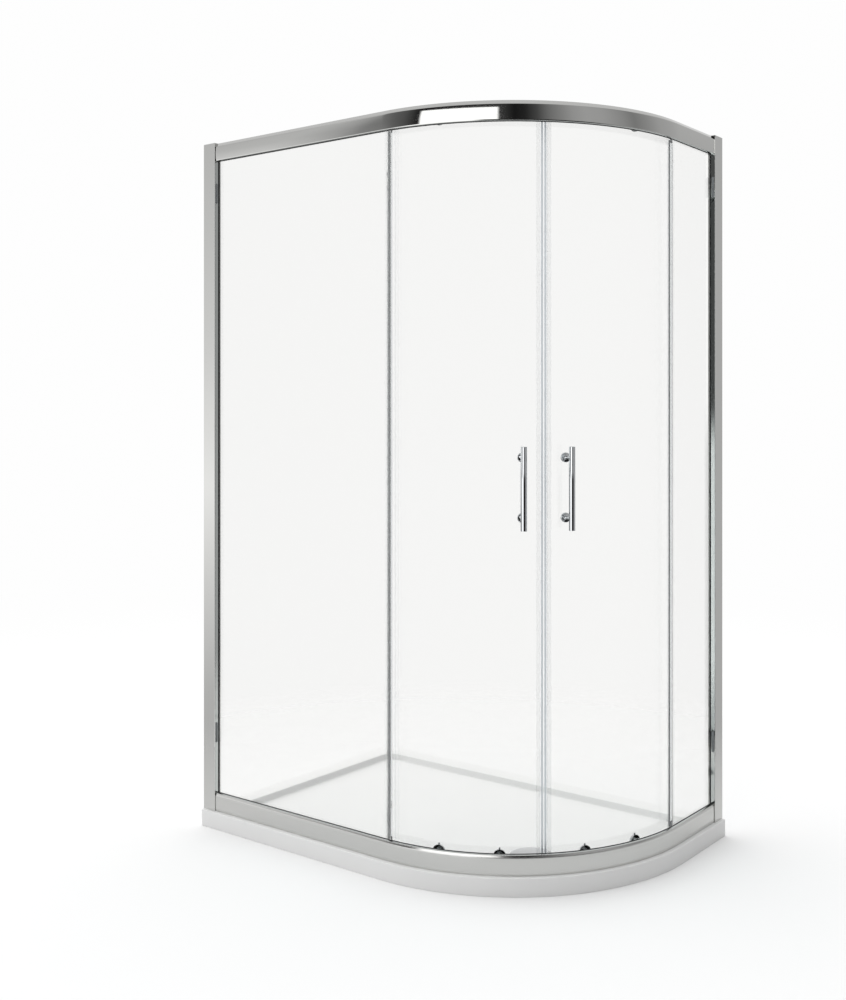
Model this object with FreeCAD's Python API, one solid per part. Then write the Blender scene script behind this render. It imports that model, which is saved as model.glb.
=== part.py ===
"""Offset quadrant shower enclosure on a low tray.

Millimetres, +Z up. The origin is on the floor under the centre of the tray's rectangle. The long side
runs along X and the short side along Y. The room's walls stand at -X and +Y, and the quarter round joins
the long front (-Y) to the short front (+X). "Left" is the long side's half, "right" the short side's.
"""
import FreeCAD, Part

import math
import os

from FreeCAD import Vector

# ---------------------------------------------------------------- driving dimensions
# tray
tray_length = 1200.0
tray_width = 800.0
tray_height = 45.0
tray_radius = 550.0            # outer edge of the quarter round
tray_corner = 2.5              # small vertical corners
tray_edge = 2.0                # rounded top edge
rim_wall = 54.0                # rim width along the two walls
rim_front = 62.0               # rim width under the rails
recess_corner = 40.0
recess_depth = 18.0
fall_depth = 4.0               # extra depth of the floor at the waste
fall_reach = 320.0
# waste
waste_distance = 360.0         # from the quarter round's centre, on its diagonal
waste_hole = 90.0
waste_cover_dia = 112.0
waste_cover_rise = 6.0         # water gap under the cover
waste_cover_thick = 5.0
waste_flange_dia = 115.0
waste_flange_thick = 2.2
waste_seal_thick = 1.0
waste_collar_wall = 3.5
waste_collar_gap = 0.4         # seal's bore from the collar
waste_cover_rim = 1.6          # cover's thickness at its edge
waste_foot_radius = 2.5
waste_foot_inset = 6.0         # feet's centres from the collar's bore
basket_wall = 1.5
basket_hole_radius = 2.5
basket_stem_radius = 5.0
basket_rows = ((14.0, 8), (25.0, 14))  # radius and number of holes
waste_fit = 0.6                # collar to tray hole, basket to collar
trap_seat_dia = 120.0          # recess in the underside for the trap's body
trap_seat_depth = 10.0
# enclosure
enclosure_height = 1850.0      # above the rim
rail_inset = 12.0              # decor face behind the tray's edge
rail_depth = 41.0
header_bow = 0.8
sill_bow = 0.5
rail_wall_thick = 2.0
rail_lip = 4.0                 # height of the thick lip that holds the pane
rail_edge = 0.6                # small bevels on the decor faces' edges
header_shoulder = 9.5          # height and depth of the bevelled band along the header's top
header_crease = 1.6            # rounded step between the header's face and its shoulder
sill_shoulder = 10.0           # height of the band that leans back along the sill's top
sill_lean = 1.5
sill_shadow_gap = 1.4          # small recess along the foot of the sill's decor face
sill_shadow_depth = 1.2
sill_height = 49.5
header_height = 50.0
plate_thick = 2.5              # sill's base and header's roof
drip_edge = 5.0
drip_thick = 1.5
web_thick = 1.6
track_reach = 7.6
track_thick = 2.0
sill_track_height = 27.0       # track surface above the rim
header_track_depth = 40.0      # track surface below the top
web_over_track = 7.0           # sill web's rise above its track
boss_radius = 2.9              # ribs for the end screws, in the glazing channels
boss_pilot = 1.6
boss_depth = 20.0
boss_weld = 0.4                # sill rib's overlap with the base
boss_drop = 10.2               # header rib below the top
# glass
glass_thick = 5.0
pane_inset = 11.0              # fixed pane's face behind the decor face
pane_gap = 0.8                 # each side of the pane in its channels
pane_overlap = 20.0            # pane's run past the tangent point
pane_lift = 12.0               # pane's bottom edge above the sill's base
pane_top_gap = 15.5
gasket_grip = 9.0              # gasket's legs along the pane
gasket_floor = 1.5             # gasket under the pane's edge
gasket_margin = 1.0            # rubber's ends from the ends of what holds it
bead_depth = 8.0               # glazing bead's wedge beside the pane
bead_width = 2.2               # glazing bead over the rail's lip
bead_rise = 1.2
bead_bevel = 0.6
gasket_bead = 1.2              # jamb gasket's bead past the jamb's end
block_length = 24.0
block_gap = 0.2
block_share = 0.15             # blocks' places along the pane, from each end
door_track_gap = 4.0           # track's edge to the door's face
# wall profiles and jambs
wall_face = 44.5               # width of the wall profile's decor face
wall_outset = 3.0              # wall profile's face proud of the rail's
wall_depth = 24.5
wall_thick = 2.0
wall_edge = 1.0                # rounded corners of the wall profile
wall_hole_dia = 5.5
wall_hole_margin = 145.0       # end holes from the profile's ends
cap_height = 6.0
cap_chamfer = 1.0
cap_spigot = 8.0
cap_spigot_end = 28.0          # measured from the wall
jamb_fit = 0.3
jamb_wall = 1.5
jamb_pocket = 12.0             # depth of the slot for the pane
jamb_pane_gap = 1.0            # pane's edge from the slot's floor
jamb_back_gap = 8.0
rail_to_jamb_gap = 0.2
side_screw_margin = 120.0      # end screws from the enclosure's ends
# seals
seal_thick = 1.2
seal_grip = 12.0
seal_gap = 0.2                 # ends of what stands between the two glazing beads
nose_length = 24.0             # edge seal's nose past the pane's edge
nose_wall = 1.4
nose_half_drop = 0.4           # nose's fall towards the arc's centre, halfway and at its tip
nose_drop = 2.4
hook_foot = 4.0                # hook's root from the pane's edge
hook_back = 10.0               # its tip, back from the root
hook_depth = 8.0
door_seal_thick = 1.0
door_seal_inset = 2.0          # upright seals' ends from the glass's ends
magnet_grip = 9.5              # magnetic seal's legs along the glass
magnet_wall = 0.3
magnet_root = 2.2              # closed end of the magnet's space from the glass's edge
magnet_fit = 0.4
trailing_end_gap = 3.0         # trailing seal's ends from the track and web
trailing_tail = 5.0
trailing_fin_gap = 4.0         # fin's tip from the fixed pane
drip_grip = 5.0                # bottom seal's legs along the glass
drip_floor = 1.5
drip_fin = 6.0                 # fin's tip below the glass
# doors
door_meeting_gap = 0.3         # each magnetic seal's face from the meeting line
door_leading = 9.0             # glass edge from the meeting line
door_trailing = 8.0            # glass edge past the tangent point
door_travel_left = 24.0        # degrees
door_travel_right = 22.0
door_bottom_drop = 20.5        # glass below the bottom wheels' axis
door_top_rise = 14.0           # glass above the top wheels' axis
roller_leading = 12.1          # degrees from the meeting line
roller_trailing = 29.3
wheel_radius = 9.0
wheel_width = 3.2
wheel_track_inset = 0.8        # wheel's side from the track's edge
wheel_bore_gap = 0.08
wheel_lift = 0.3               # wheel's rim above its track
wheel_round = 0.5
dish_depth = 0.5               # shallow dish between tyre and bearing
tyre_width = 1.8
bearing_width = 1.6
axle_radius = 3.0
axle_head_radius = 4.5
axle_head = 0.6
collar_radius = 8.0
collar_gap = 0.2               # collar to wheel
head_gap = 0.1                 # wheel to axle head
glass_hole_dia = 14.0
glass_hole_gap = 0.3
hub_depth = 7.0
hub_dia = 31.0                 # bottom housings and the height-adjusting top caps
small_hub_dia = 18.0
hub_round = 1.6
hub_bore_floor = 2.0           # closed end of the axle's bore from the cap's face
groove_inset = 3.5             # turned ring on the cap's face
groove_width = 1.1
groove_depth = 0.6
button_dia = 4.6               # foot, kept in by a shoulder
button_neck = 3.8
button_foot = 2.0
button_gap = 0.1
button_out = 4.0
button_travel = 3.0
button_grip = 4.2
button_crown = 0.9
spring_floor = 0.8             # housing's wall over the axle
spring_gap = 0.2
spring_wire = 0.5
spring_turns = 3
# handles
handle_angle = 6.0             # degrees from the meeting line
handle_centre = 923.0          # above the rim
handle_length = 200.0
handle_pitch = 145.0
handle_bar_dia = 15.0
bar_round = 0.8
post_socket = 4.0              # post's depth in the bar
handle_standoff = 50.0         # bar's axis from the glass
rose_dia = 24.0
rose_thick = 5.0
rose_round = 1.5
post_dia = 8.0
nut_dia = 18.0
nut_thick = 4.0
nut_round = 1.2
stud_bite = 4.0                # thread in the rose
stud_dia = 6.0
washer_thick = 0.8
washer_inset = 0.8
handle_hole_dia = 12.0
# stops on the header's track
stop_size = 12.0
stop_inset = 0.4
stop_gap = 1.5                 # from the trailing wheel's rim at the end of its run
# screws
screw_dia = 4.0
screw_head_dia = 7.2
screw_head_thick = 2.4
screw_bite = 14.0              # length in a rib
side_screw_bite = 6.0          # length past the jamb's wall
screw_gap = 0.2
# adjuster covers on the jambs
adjuster_length = 54.0
adjuster_width = 5.4
adjuster_lip = 0.7
adjuster_gap = 0.2
adjuster_inset = 1.2           # lip from the jamb's outer corner
adjuster_low = 217.0           # centre above the rim
adjuster_drop = 140.0          # upper cover's centre below the top

# ---------------------------------------------------------------- derived places
arc_x = tray_length / 2 - tray_radius
arc_y = tray_radius - tray_width / 2
rim_z = tray_height
top_z = rim_z + enclosure_height
arc_centre = Vector(arc_x, arc_y, 0)
up = Vector(0, 0, 1)

rail_r = tray_radius - rail_inset
rail_in_r = rail_r - rail_depth
pane_out_r = rail_r - pane_inset
pane_in_r = pane_out_r - glass_thick
lip_r = pane_out_r + pane_gap
web_out_r = pane_in_r - pane_gap
web_in_r = web_out_r - web_thick
track_in_r = web_in_r - track_reach
door_out_r = track_in_r - door_track_gap
door_in_r = door_out_r - glass_thick
hub_in_r = door_in_r - hub_depth
wheel_in_r = track_in_r + wheel_track_inset
wheel_out_r = wheel_in_r + wheel_width
wheel_track_r = (wheel_in_r + wheel_out_r) / 2
boss_r = (lip_r + web_out_r) / 2
wall_out_r = rail_r + wall_outset
wall_in_r = wall_out_r - wall_depth
jamb_out_r = wall_out_r - wall_thick - jamb_fit
jamb_in_r = wall_in_r + wall_thick + jamb_fit
slot_in_r = jamb_in_r + jamb_wall
slot_out_r = pane_out_r + pane_in_r - slot_in_r
jamb_end = wall_face
slot_floor = jamb_end - jamb_pocket

sill_top_z = rim_z + sill_height
header_low_z = top_z - header_height
base_top_z = rim_z + plate_thick
roof_low_z = top_z - plate_thick
sill_track_z = rim_z + sill_track_height
header_track_z = top_z - header_track_depth
low_axis_z = sill_track_z + wheel_lift + wheel_radius
high_axis_z = header_track_z + wheel_lift + wheel_radius
door_low_z = low_axis_z - door_bottom_drop
door_high_z = high_axis_z + door_top_rise
pane_low_z = base_top_z + pane_lift
pane_high_z = top_z - pane_top_gap
sill_boss_z = base_top_z + boss_radius - boss_weld
header_boss_z = top_z - boss_drop
profile_high_z = top_z - cap_height
handle_z = rim_z + handle_centre
recess_z = rim_z - recess_depth
waste_z = recess_z - fall_depth
waste_x = arc_x + waste_distance * math.cos(math.radians(45))
waste_y = arc_y - waste_distance * math.sin(math.radians(45))
tangent = {"left": arc_x + tray_length / 2, "right": tray_width / 2 - arc_y}
sides = ("left", "right")
roller_places = (("leading", roller_leading), ("trailing", roller_trailing))


# ---------------------------------------------------------------- shape helpers
def path_face(start, *moves):
    """Face from an outline: a move is an end point, or a (through, end) pair for an arc. A line closes it."""
    edges = []
    here = start
    for move in moves:
        if isinstance(move, tuple):
            through, end = move
            edges.append(Part.Arc(here, through, end).toShape())
        else:
            end = move
            edges.append(Part.LineSegment(here, end).toShape())
        here = end
    if not here.isEqual(start, 1e-6):
        edges.append(Part.LineSegment(here, start).toShape())
    return Part.Face(Part.Wire(edges))


def ring(radius, bore, z0, z1, centre):
    """Flat ring with a vertical axis."""
    base = Vector(centre.x, centre.y, z0)
    return Part.makeCylinder(radius, z1 - z0, base).cut(Part.makeCylinder(bore, z1 - z0, base))


def disc(radius, z0, z1, centre):
    return Part.makeCylinder(radius, z1 - z0, Vector(centre.x, centre.y, z0))


def wall_point(side, along, radius, z=0.0):
    """Point on a straight stretch: distance from the wall, and distance from the arc centre's line."""
    if side == "left":
        return Vector(along - tray_length / 2, arc_y - radius, z)
    return Vector(arc_x + radius, tray_width / 2 - along, z)


def into_room(side):
    """Direction away from the wall that a straight stretch starts at."""
    return Vector(1, 0, 0) if side == "left" else Vector(0, -1, 0)


def out_of_room(side):
    """Direction out through a straight stretch."""
    return Vector(0, -1, 0) if side == "left" else Vector(1, 0, 0)


def wall_prism(side, outline, z0, z1):
    """Prism on a straight stretch from (along, radius) corners."""
    points = [wall_point(side, along, radius, z0) for along, radius in outline]
    return Part.Face(Part.makePolygon(points + points[:1])).extrude(up * (z1 - z0))


def wall_block(side, along0, along1, radius0, radius1, z0, z1):
    corners = [(along0, radius0), (along1, radius0), (along1, radius1), (along0, radius1)]
    return wall_prism(side, corners, z0, z1)


def door_angle(side, degrees):
    """Angle about the arc centre of a place that lies so many degrees from the meeting line."""
    return -45 - degrees if side == "left" else -45 + degrees


def door_degrees(length):
    """Degrees that a length takes along the door glass."""
    return math.degrees(length / door_out_r)


def arc_point(radius, angle, z=0.0):
    turn = math.radians(angle)
    return Vector(arc_x + radius * math.cos(turn), arc_y + radius * math.sin(turn), z)


def sector(side, radius0, radius1, degrees0, degrees1, z0, z1):
    """Curved plate between two radii and two places along the door."""
    a0, a1 = door_angle(side, degrees0), door_angle(side, degrees1)
    mid = (a0 + a1) / 2
    face = path_face(arc_point(radius0, a0, z0),
                     (arc_point(radius0, mid, z0), arc_point(radius0, a1, z0)),
                     arc_point(radius1, a1, z0),
                     (arc_point(radius1, mid, z0), arc_point(radius1, a0, z0)))
    return face.extrude(up * (z1 - z0))


def spoke(side, degrees, z, radius0, radius1, thick):
    """Round bar along a radius of the quarter round."""
    angle = door_angle(side, degrees)
    start = arc_point(radius0, angle, z)
    outward = (arc_point(radius1, angle, z) - start).normalize()
    return Part.makeCylinder(thick, radius1 - radius0, start, outward)


def fuse(shapes):
    shapes = list(shapes)
    return shapes[0].multiFuse(shapes[1:]).removeSplitter() if len(shapes) > 1 else shapes[0]


def group(shapes):
    """Separate like solids kept in one sub-part."""
    return Part.makeCompound(list(shapes))


# ---------------------------------------------------------------- tray and waste
def tray_outline(front, wall, corner, z):
    """Tray's outline, moved in by one amount on the fronts and another on the walls."""
    west, east = -tray_length / 2 + wall, tray_length / 2 - front
    south, north = -tray_width / 2 + front, tray_width / 2 - wall
    radius = tray_radius - front
    bend = corner * (1 - math.cos(math.radians(45)))

    def p(x, y):
        return Vector(x, y, z)

    return path_face(
        p(west + corner, south), p(arc_x, south),
        (arc_point(radius, -45, z), p(east, arc_y)),
        p(east, north - corner),
        (p(east - bend, north - bend), p(east - corner, north)),
        p(west + corner, north),
        (p(west + bend, north - bend), p(west, north - corner)),
        p(west, south + corner),
        (p(west + bend, south + bend), p(west + corner, south)))


def shower_tray():
    body = tray_outline(0, 0, tray_corner, 0).extrude(up * tray_height)
    top_edges = [edge for edge in body.Edges if abs(edge.BoundBox.ZMin - tray_height) < 1e-6]
    body = body.makeFillet(tray_edge, top_edges)
    # the recess wall: rounded rim edge, steep wall, cove into the floor, as (inset, depth) rings
    steps = [(0.0, 0.0), (1.2, 0.4), (2.2, 1.4), (2.8, 3.0), (5.6, recess_depth - 4.0),
             (6.6, recess_depth - 2.0), (8.4, recess_depth - 0.6), (11.0, recess_depth)]
    rings = [tray_outline(rim_front + inset, rim_wall + inset, recess_corner - inset, rim_z - depth).OuterWire
             for inset, depth in steps]
    recess = Part.makeLoft(rings, True, True)
    inset = steps[-1][0]
    floor = tray_outline(rim_front + inset, rim_wall + inset, recess_corner - inset, waste_z)
    waste = Vector(waste_x, waste_y, waste_z)
    fall = Part.makeCone(waste_flange_dia / 2 + 3, fall_reach, fall_depth, waste)
    fall = fall.common(floor.extrude(up * fall_depth))
    seat_z = waste_z - waste_flange_thick - waste_seal_thick
    body = body.cut(recess).cut(fall)
    body = body.cut(disc(waste_flange_dia / 2 + waste_fit, seat_z, waste_z + 1, waste))
    body = body.cut(disc(waste_hole / 2, 0, tray_height, waste))
    return body.cut(disc(trap_seat_dia / 2, 0, trap_seat_depth, waste))


def waste_pieces():
    centre = Vector(waste_x, waste_y, 0)
    seat_z = waste_z - waste_flange_thick - waste_seal_thick
    flange_low = seat_z + waste_seal_thick
    collar_r = waste_hole / 2 - waste_fit
    bore_r = collar_r - waste_collar_wall
    seal = ring(waste_flange_dia / 2 - 1, collar_r + waste_collar_gap, seat_z, flange_low, centre)
    flange = ring(waste_flange_dia / 2, bore_r, flange_low, waste_z, centre)
    collar = ring(collar_r, bore_r, trap_seat_depth + 0.3, flange_low, centre)
    flange = fuse([flange, collar])

    cover_low = waste_z + waste_cover_rise
    cover_r = waste_cover_dia / 2
    dome_edge = cover_low + waste_cover_rim
    dome_top = cover_low + waste_cover_thick
    rise = dome_top - dome_edge
    dome_r = (cover_r ** 2 + rise ** 2) / (2 * rise)
    dome = Part.makeSphere(dome_r, Vector(centre.x, centre.y, dome_top - dome_r))
    cover = disc(cover_r, cover_low, dome_top + 1, centre).common(dome)
    basket_r = bore_r - waste_fit
    basket_low = trap_seat_depth + 2.0
    basket_high = waste_z - 1.0
    # three feet under the cover stand on the flange
    for turn in (90, 210, 330):
        foot = Vector(centre.x + (bore_r + waste_foot_inset) * math.cos(math.radians(turn)),
                      centre.y + (bore_r + waste_foot_inset) * math.sin(math.radians(turn)), 0)
        cover = cover.fuse(disc(waste_foot_radius, waste_z + 0.1, cover_low + 0.5, foot))
    cover = cover.removeSplitter()
    cup = disc(basket_r, basket_low, basket_high, centre)
    cup = cup.cut(disc(basket_r - basket_wall, basket_low + basket_wall, basket_high, centre))
    cup = cup.fuse(disc(basket_stem_radius, basket_low, cover_low, centre))
    for ring_r, count in basket_rows:
        for i in range(count):
            turn = 2 * math.pi * i / count
            hole = Vector(centre.x + ring_r * math.cos(turn), centre.y + ring_r * math.sin(turn), 0)
            cup = cup.cut(disc(basket_hole_radius, basket_low - 1, basket_low + 2, hole))
    return {"waste_flange": flange, "waste_seal": seal, "waste_cover": cover,
            "hair_basket": cup.removeSplitter()}


# ---------------------------------------------------------------- rails
def section_point(radius, z):
    """Section drawn in the plane at the long side's tangent point."""
    return Vector(arc_x, arc_y - radius, z)


def bend_rail(face):
    """One section run straight, round the quarter and straight again, ending at the two jambs."""
    start = jamb_end + rail_to_jamb_gap
    left = face.extrude(Vector(start - tangent["left"], 0, 0))
    bend = face.revolve(arc_centre, up, 90)
    turned = face.copy()
    turned.rotate(arc_centre, up, 90)
    right = turned.extrude(Vector(0, tangent["right"] - start, 0))
    return fuse([left, bend, right])


def drill_ends(rail, z):
    """Holes in the ends of the rib that takes the end screws."""
    for side in sides:
        foot = wall_point(side, jamb_end, boss_r, z)
        rail = rail.cut(Part.makeCylinder(boss_pilot, boss_depth, foot, into_room(side)))
    return rail


def sill_rail():
    """Bowed face over a shadow gap, a band that leans back, lip, glazing channel, web, track and base."""
    p = section_point
    foot_z = rim_z + sill_shadow_gap
    band_z = sill_top_z - sill_shoulder
    band_r = rail_r - sill_lean
    wall_r = rail_r - rail_wall_thick
    rib_foot = math.sqrt(boss_radius ** 2 - (sill_boss_z - base_top_z) ** 2)
    face = path_face(
        p(rail_in_r, rim_z), p(rail_r - sill_shadow_depth, rim_z), p(rail_r - sill_shadow_depth, foot_z),
        p(rail_r - rail_edge, foot_z), p(rail_r, foot_z + rail_edge),
        (p(rail_r + sill_bow, (foot_z + band_z) / 2), p(rail_r, band_z)),
        (p(rail_r - sill_lean / 4, (band_z + sill_top_z) / 2), p(band_r, sill_top_z - 2 * rail_edge)),
        p(band_r - rail_edge, sill_top_z), p(lip_r, sill_top_z), p(lip_r, sill_top_z - rail_lip),
        p(wall_r - sill_lean / 2, sill_top_z - sill_shoulder), p(wall_r - sill_lean / 2, base_top_z),
        p(boss_r + rib_foot, base_top_z),
        (p(boss_r, sill_boss_z + boss_radius), p(boss_r - rib_foot, base_top_z)),
        p(web_out_r, base_top_z), p(web_out_r, sill_track_z + web_over_track),
        p(web_in_r, sill_track_z + web_over_track), p(web_in_r, sill_track_z), p(track_in_r, sill_track_z),
        p(track_in_r, sill_track_z - track_thick), p(web_in_r, sill_track_z - track_thick),
        p(web_in_r, base_top_z), p(rail_in_r + drip_thick, base_top_z),
        p(rail_in_r + drip_thick, rim_z + drip_edge), p(rail_in_r, rim_z + drip_edge))
    return drill_ends(bend_rail(face), sill_boss_z)


def header_rail():
    """Bowed face, a bevelled shoulder, roof, web, track, glazing channel and lip."""
    p = section_point
    crease_z = top_z - header_shoulder - header_crease
    shoulder_z = top_z - header_shoulder + header_crease / 2
    shoulder_r = rail_r - header_crease
    roof_edge = rail_r - header_shoulder - rail_edge
    wall_r = rail_r - rail_wall_thick
    hanger_in_r, hanger_out_r = boss_r - web_thick / 2, boss_r + web_thick / 2
    rib_top_z = header_boss_z + math.sqrt(boss_radius ** 2 - (web_thick / 2) ** 2)
    face = path_face(
        p(lip_r, header_low_z), p(rail_r - rail_edge, header_low_z), p(rail_r, header_low_z + rail_edge),
        (p(rail_r + header_bow, (header_low_z + crease_z) / 2), p(rail_r, crease_z)),
        (p(rail_r - header_crease * 0.35, (crease_z + shoulder_z) / 2), p(shoulder_r, shoulder_z)),
        p(roof_edge, top_z), p(rail_in_r, top_z), p(rail_in_r, top_z - drip_edge),
        p(rail_in_r + drip_thick, top_z - drip_edge), p(rail_in_r + drip_thick, roof_low_z),
        p(web_in_r, roof_low_z), p(web_in_r, header_track_z), p(track_in_r, header_track_z),
        p(track_in_r, header_track_z - track_thick), p(web_out_r, header_track_z - track_thick),
        p(web_out_r, roof_low_z), p(hanger_in_r, roof_low_z), p(hanger_in_r, rib_top_z),
        (p(boss_r, header_boss_z - boss_radius), p(hanger_out_r, rib_top_z)),
        p(hanger_out_r, roof_low_z), p(roof_edge, roof_low_z), p(wall_r, crease_z),
        p(wall_r, header_low_z + rail_lip + 3), p(lip_r, header_low_z + rail_lip))
    return drill_ends(bend_rail(face), header_boss_z)


# ---------------------------------------------------------------- wall profiles, jambs and panes
def wall_hole_heights():
    low = rim_z + wall_hole_margin
    high = profile_high_z - wall_hole_margin
    return low, (low + high) / 2, high


def wall_profile(side):
    """Channel that is screwed to the wall through its back, with rounded outer corners."""
    outer = wall_block(side, 0, wall_face, wall_in_r, wall_out_r, rim_z, profile_high_z)
    corners = [edge for edge in outer.Edges
               if edge.Length > profile_high_z / 2 and edge_reach(side, edge) > wall_thick]
    outer = outer.makeFillet(wall_edge, corners)
    inner = wall_block(side, wall_thick, wall_face + 1, wall_in_r + wall_thick, wall_out_r - wall_thick,
                       rim_z, profile_high_z)
    profile = outer.cut(inner)
    middle_r = (wall_in_r + wall_out_r) / 2
    for z in wall_hole_heights():
        foot = wall_point(side, 0, middle_r, z)
        profile = profile.cut(Part.makeCylinder(wall_hole_dia / 2, wall_thick, foot, into_room(side)))
    for hole in side_screw_holes(side, screw_dia / 2 + screw_gap):
        profile = profile.cut(hole)
    return profile


def edge_reach(side, edge):
    """Distance of an upright edge from the wall."""
    return (edge.CenterOfMass - wall_point(side, 0, 0)).dot(into_room(side))


def side_screw_heights():
    return rim_z + side_screw_margin, (rim_z + top_z) / 2, top_z - side_screw_margin


def side_screw_holes(side, radius):
    for z in side_screw_heights():
        foot = wall_point(side, wall_face / 2, wall_in_r, z)
        yield Part.makeCylinder(radius, jamb_in_r + jamb_wall - wall_in_r, foot, out_of_room(side))


def jamb(side):
    """Box section that slides in the wall profile, with a slot in its end for the pane's edge."""
    wall = jamb_wall
    body = wall_block(side, jamb_back_gap, jamb_end, jamb_in_r, jamb_out_r, rim_z, profile_high_z)
    pocket_wall = slot_floor - wall
    rooms = [(jamb_back_gap + wall, pocket_wall, slot_in_r, slot_out_r + wall),
             (jamb_back_gap + wall, jamb_end - wall, slot_out_r + wall, jamb_out_r - wall),
             (slot_floor, jamb_end, slot_in_r, slot_out_r)]
    for along0, along1, radius0, radius1 in rooms:
        body = body.cut(wall_block(side, along0, along1, radius0, radius1, rim_z, profile_high_z))
    for z in (sill_boss_z, header_boss_z):
        foot = wall_point(side, 0, boss_r, z)
        body = body.cut(Part.makeCylinder(screw_dia / 2 + screw_gap, slot_floor, foot, into_room(side)))
        driver_r = screw_head_dia / 2 + screw_gap
        body = body.cut(Part.makeCylinder(driver_r, jamb_back_gap + wall, foot, into_room(side)))
    for hole in side_screw_holes(side, boss_pilot):
        body = body.cut(hole)
    for z in adjuster_heights():
        body = body.cut(adjuster_plate(side, z, 0, jamb_end - wall, jamb_end))
    return body


def adjuster_heights():
    return rim_z + adjuster_low, top_z - adjuster_drop


def adjuster_plate(side, z, grow, along0, along1):
    """Long plate with round ends, lying on the jamb's end."""
    half_width = adjuster_width / 2 + grow
    half_length = adjuster_length / 2 + grow
    middle_r = jamb_out_r - adjuster_inset - adjuster_lip - adjuster_width / 2
    end_heights = (z - half_length + half_width, z + half_length - half_width)
    plate = wall_block(side, along0, along1, middle_r - half_width, middle_r + half_width, *end_heights)
    feet = [wall_point(side, along0, middle_r, end_z) for end_z in end_heights]
    ends = [Part.makeCylinder(half_width, along1 - along0, foot, into_room(side)) for foot in feet]
    return fuse([plate] + ends)


def adjuster_cover(side, z):
    """Plug in the jamb's slot with a thin lip that lies on the face."""
    plug = adjuster_plate(side, z, -adjuster_gap, jamb_end - jamb_wall, jamb_end)
    lip = adjuster_plate(side, z, adjuster_lip, jamb_end, jamb_end + adjuster_lip)
    return fuse([plug, lip])


def profile_cap(side):
    """Cap on the wall profile's top, with a spigot inside the jamb's tube."""
    lid = wall_block(side, 0, wall_face, wall_in_r, wall_out_r, profile_high_z, top_z)
    spigot = wall_block(side, jamb_back_gap + jamb_wall + jamb_fit, cap_spigot_end, slot_in_r + jamb_fit,
                        jamb_out_r - jamb_wall - jamb_fit, profile_high_z - cap_spigot, profile_high_z)
    top_edges = [edge for edge in lid.Edges if abs(edge.BoundBox.ZMin - top_z) < 1e-6]
    return fuse([lid.makeChamfer(cap_chamfer, top_edges), spigot])


def screw_head(foot, direction):
    """Pan head with its underside at the foot."""
    top = foot - direction * screw_head_thick
    head = Part.makeCylinder(screw_head_dia / 2, screw_head_thick, top, direction)
    dome_edges = [edge for edge in head.Edges
                  if edge.Curve.TypeId == "Part::GeomCircle"
                  and (edge.Curve.Center - foot).Length > screw_head_thick / 2]
    return head.makeFillet(screw_head_thick * 0.6, dome_edges)


def screws():
    """Long screws from the jambs into the rails' ribs, and short ones from the profiles to the jambs."""
    pieces = []
    shank_r = boss_pilot - 0.1
    rail_reach = jamb_wall + jamb_pocket + rail_to_jamb_gap + screw_bite
    jamb_reach = wall_thick + jamb_fit + jamb_wall + side_screw_bite
    for side in sides:
        for z in (sill_boss_z, header_boss_z):
            seat = wall_point(side, slot_floor - jamb_wall, boss_r, z)
            shank = Part.makeCylinder(shank_r, rail_reach, seat, into_room(side))
            pieces.append(fuse([screw_head(seat, into_room(side)), shank]))
        for z in side_screw_heights():
            seat = wall_point(side, wall_face / 2, wall_in_r, z)
            shank = Part.makeCylinder(shank_r, jamb_reach, seat, out_of_room(side))
            pieces.append(fuse([screw_head(seat, out_of_room(side)), shank]))
    return group(pieces)


def fixed_pane(side):
    return wall_block(side, slot_floor + jamb_pane_gap, tangent[side] + pane_overlap, pane_in_r, pane_out_r,
                      pane_low_z, pane_high_z)


def between_beads():
    """Heights of what stands between the sill's glazing bead and the header's."""
    return sill_top_z + bead_rise + seal_gap, header_low_z - bead_rise - seal_gap


def jamb_gasket(side, face_r, slot_r):
    """Black rubber wedge between the jamb's slot and one face of the pane, with a bead that shows."""
    start = (slot_floor + jamb_end) / 2
    tip = jamb_end + gasket_bead
    outline = [(start, face_r), (tip, face_r), (tip, (face_r + slot_r) / 2), (jamb_end, slot_r),
               (start, slot_r)]
    return wall_prism(side, outline, *between_beads())


def channel_gasket(side, edge):
    """Rubber U round the pane's low or high edge, inside a rail's glazing channel."""
    start = jamb_end + rail_to_jamb_gap + gasket_margin
    end = tangent[side] - gasket_margin
    if edge == "low":
        z0, z1 = pane_low_z - gasket_floor, pane_low_z + gasket_grip
    else:
        z0, z1 = pane_high_z - gasket_grip, pane_high_z + gasket_floor
    outer = wall_block(side, start, end, web_out_r, lip_r, z0, z1)
    return outer.cut(wall_block(side, start, end, pane_in_r, pane_out_r, pane_low_z, pane_high_z))


def glazing_bead(edge):
    """Black rubber wedge along a rail, between the panes and the rail's lip, with a bead over the lip."""
    lip_z, out = (sill_top_z, 1) if edge == "low" else (header_low_z, -1)
    bead_r = pane_out_r + bead_width
    outline = [(pane_out_r, lip_z - out * bead_depth), (lip_r, lip_z - out * rail_lip), (lip_r, lip_z),
               (bead_r, lip_z), (bead_r, lip_z + out * (bead_rise - bead_bevel)),
               (bead_r - bead_bevel, lip_z + out * bead_rise), (pane_out_r, lip_z + out * bead_rise)]
    start, *others = [section_point(radius, z) for radius, z in outline]
    bead = bend_rail(path_face(start, *others))
    for side in sides:
        bead = bead.cut(fixed_pane(side))
    return bead


def rail_rubbers():
    edges = ("low", "high")
    channels = [channel_gasket(side, edge) for side in sides for edge in edges]
    return group(channels + [glazing_bead(edge) for edge in edges])


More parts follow.
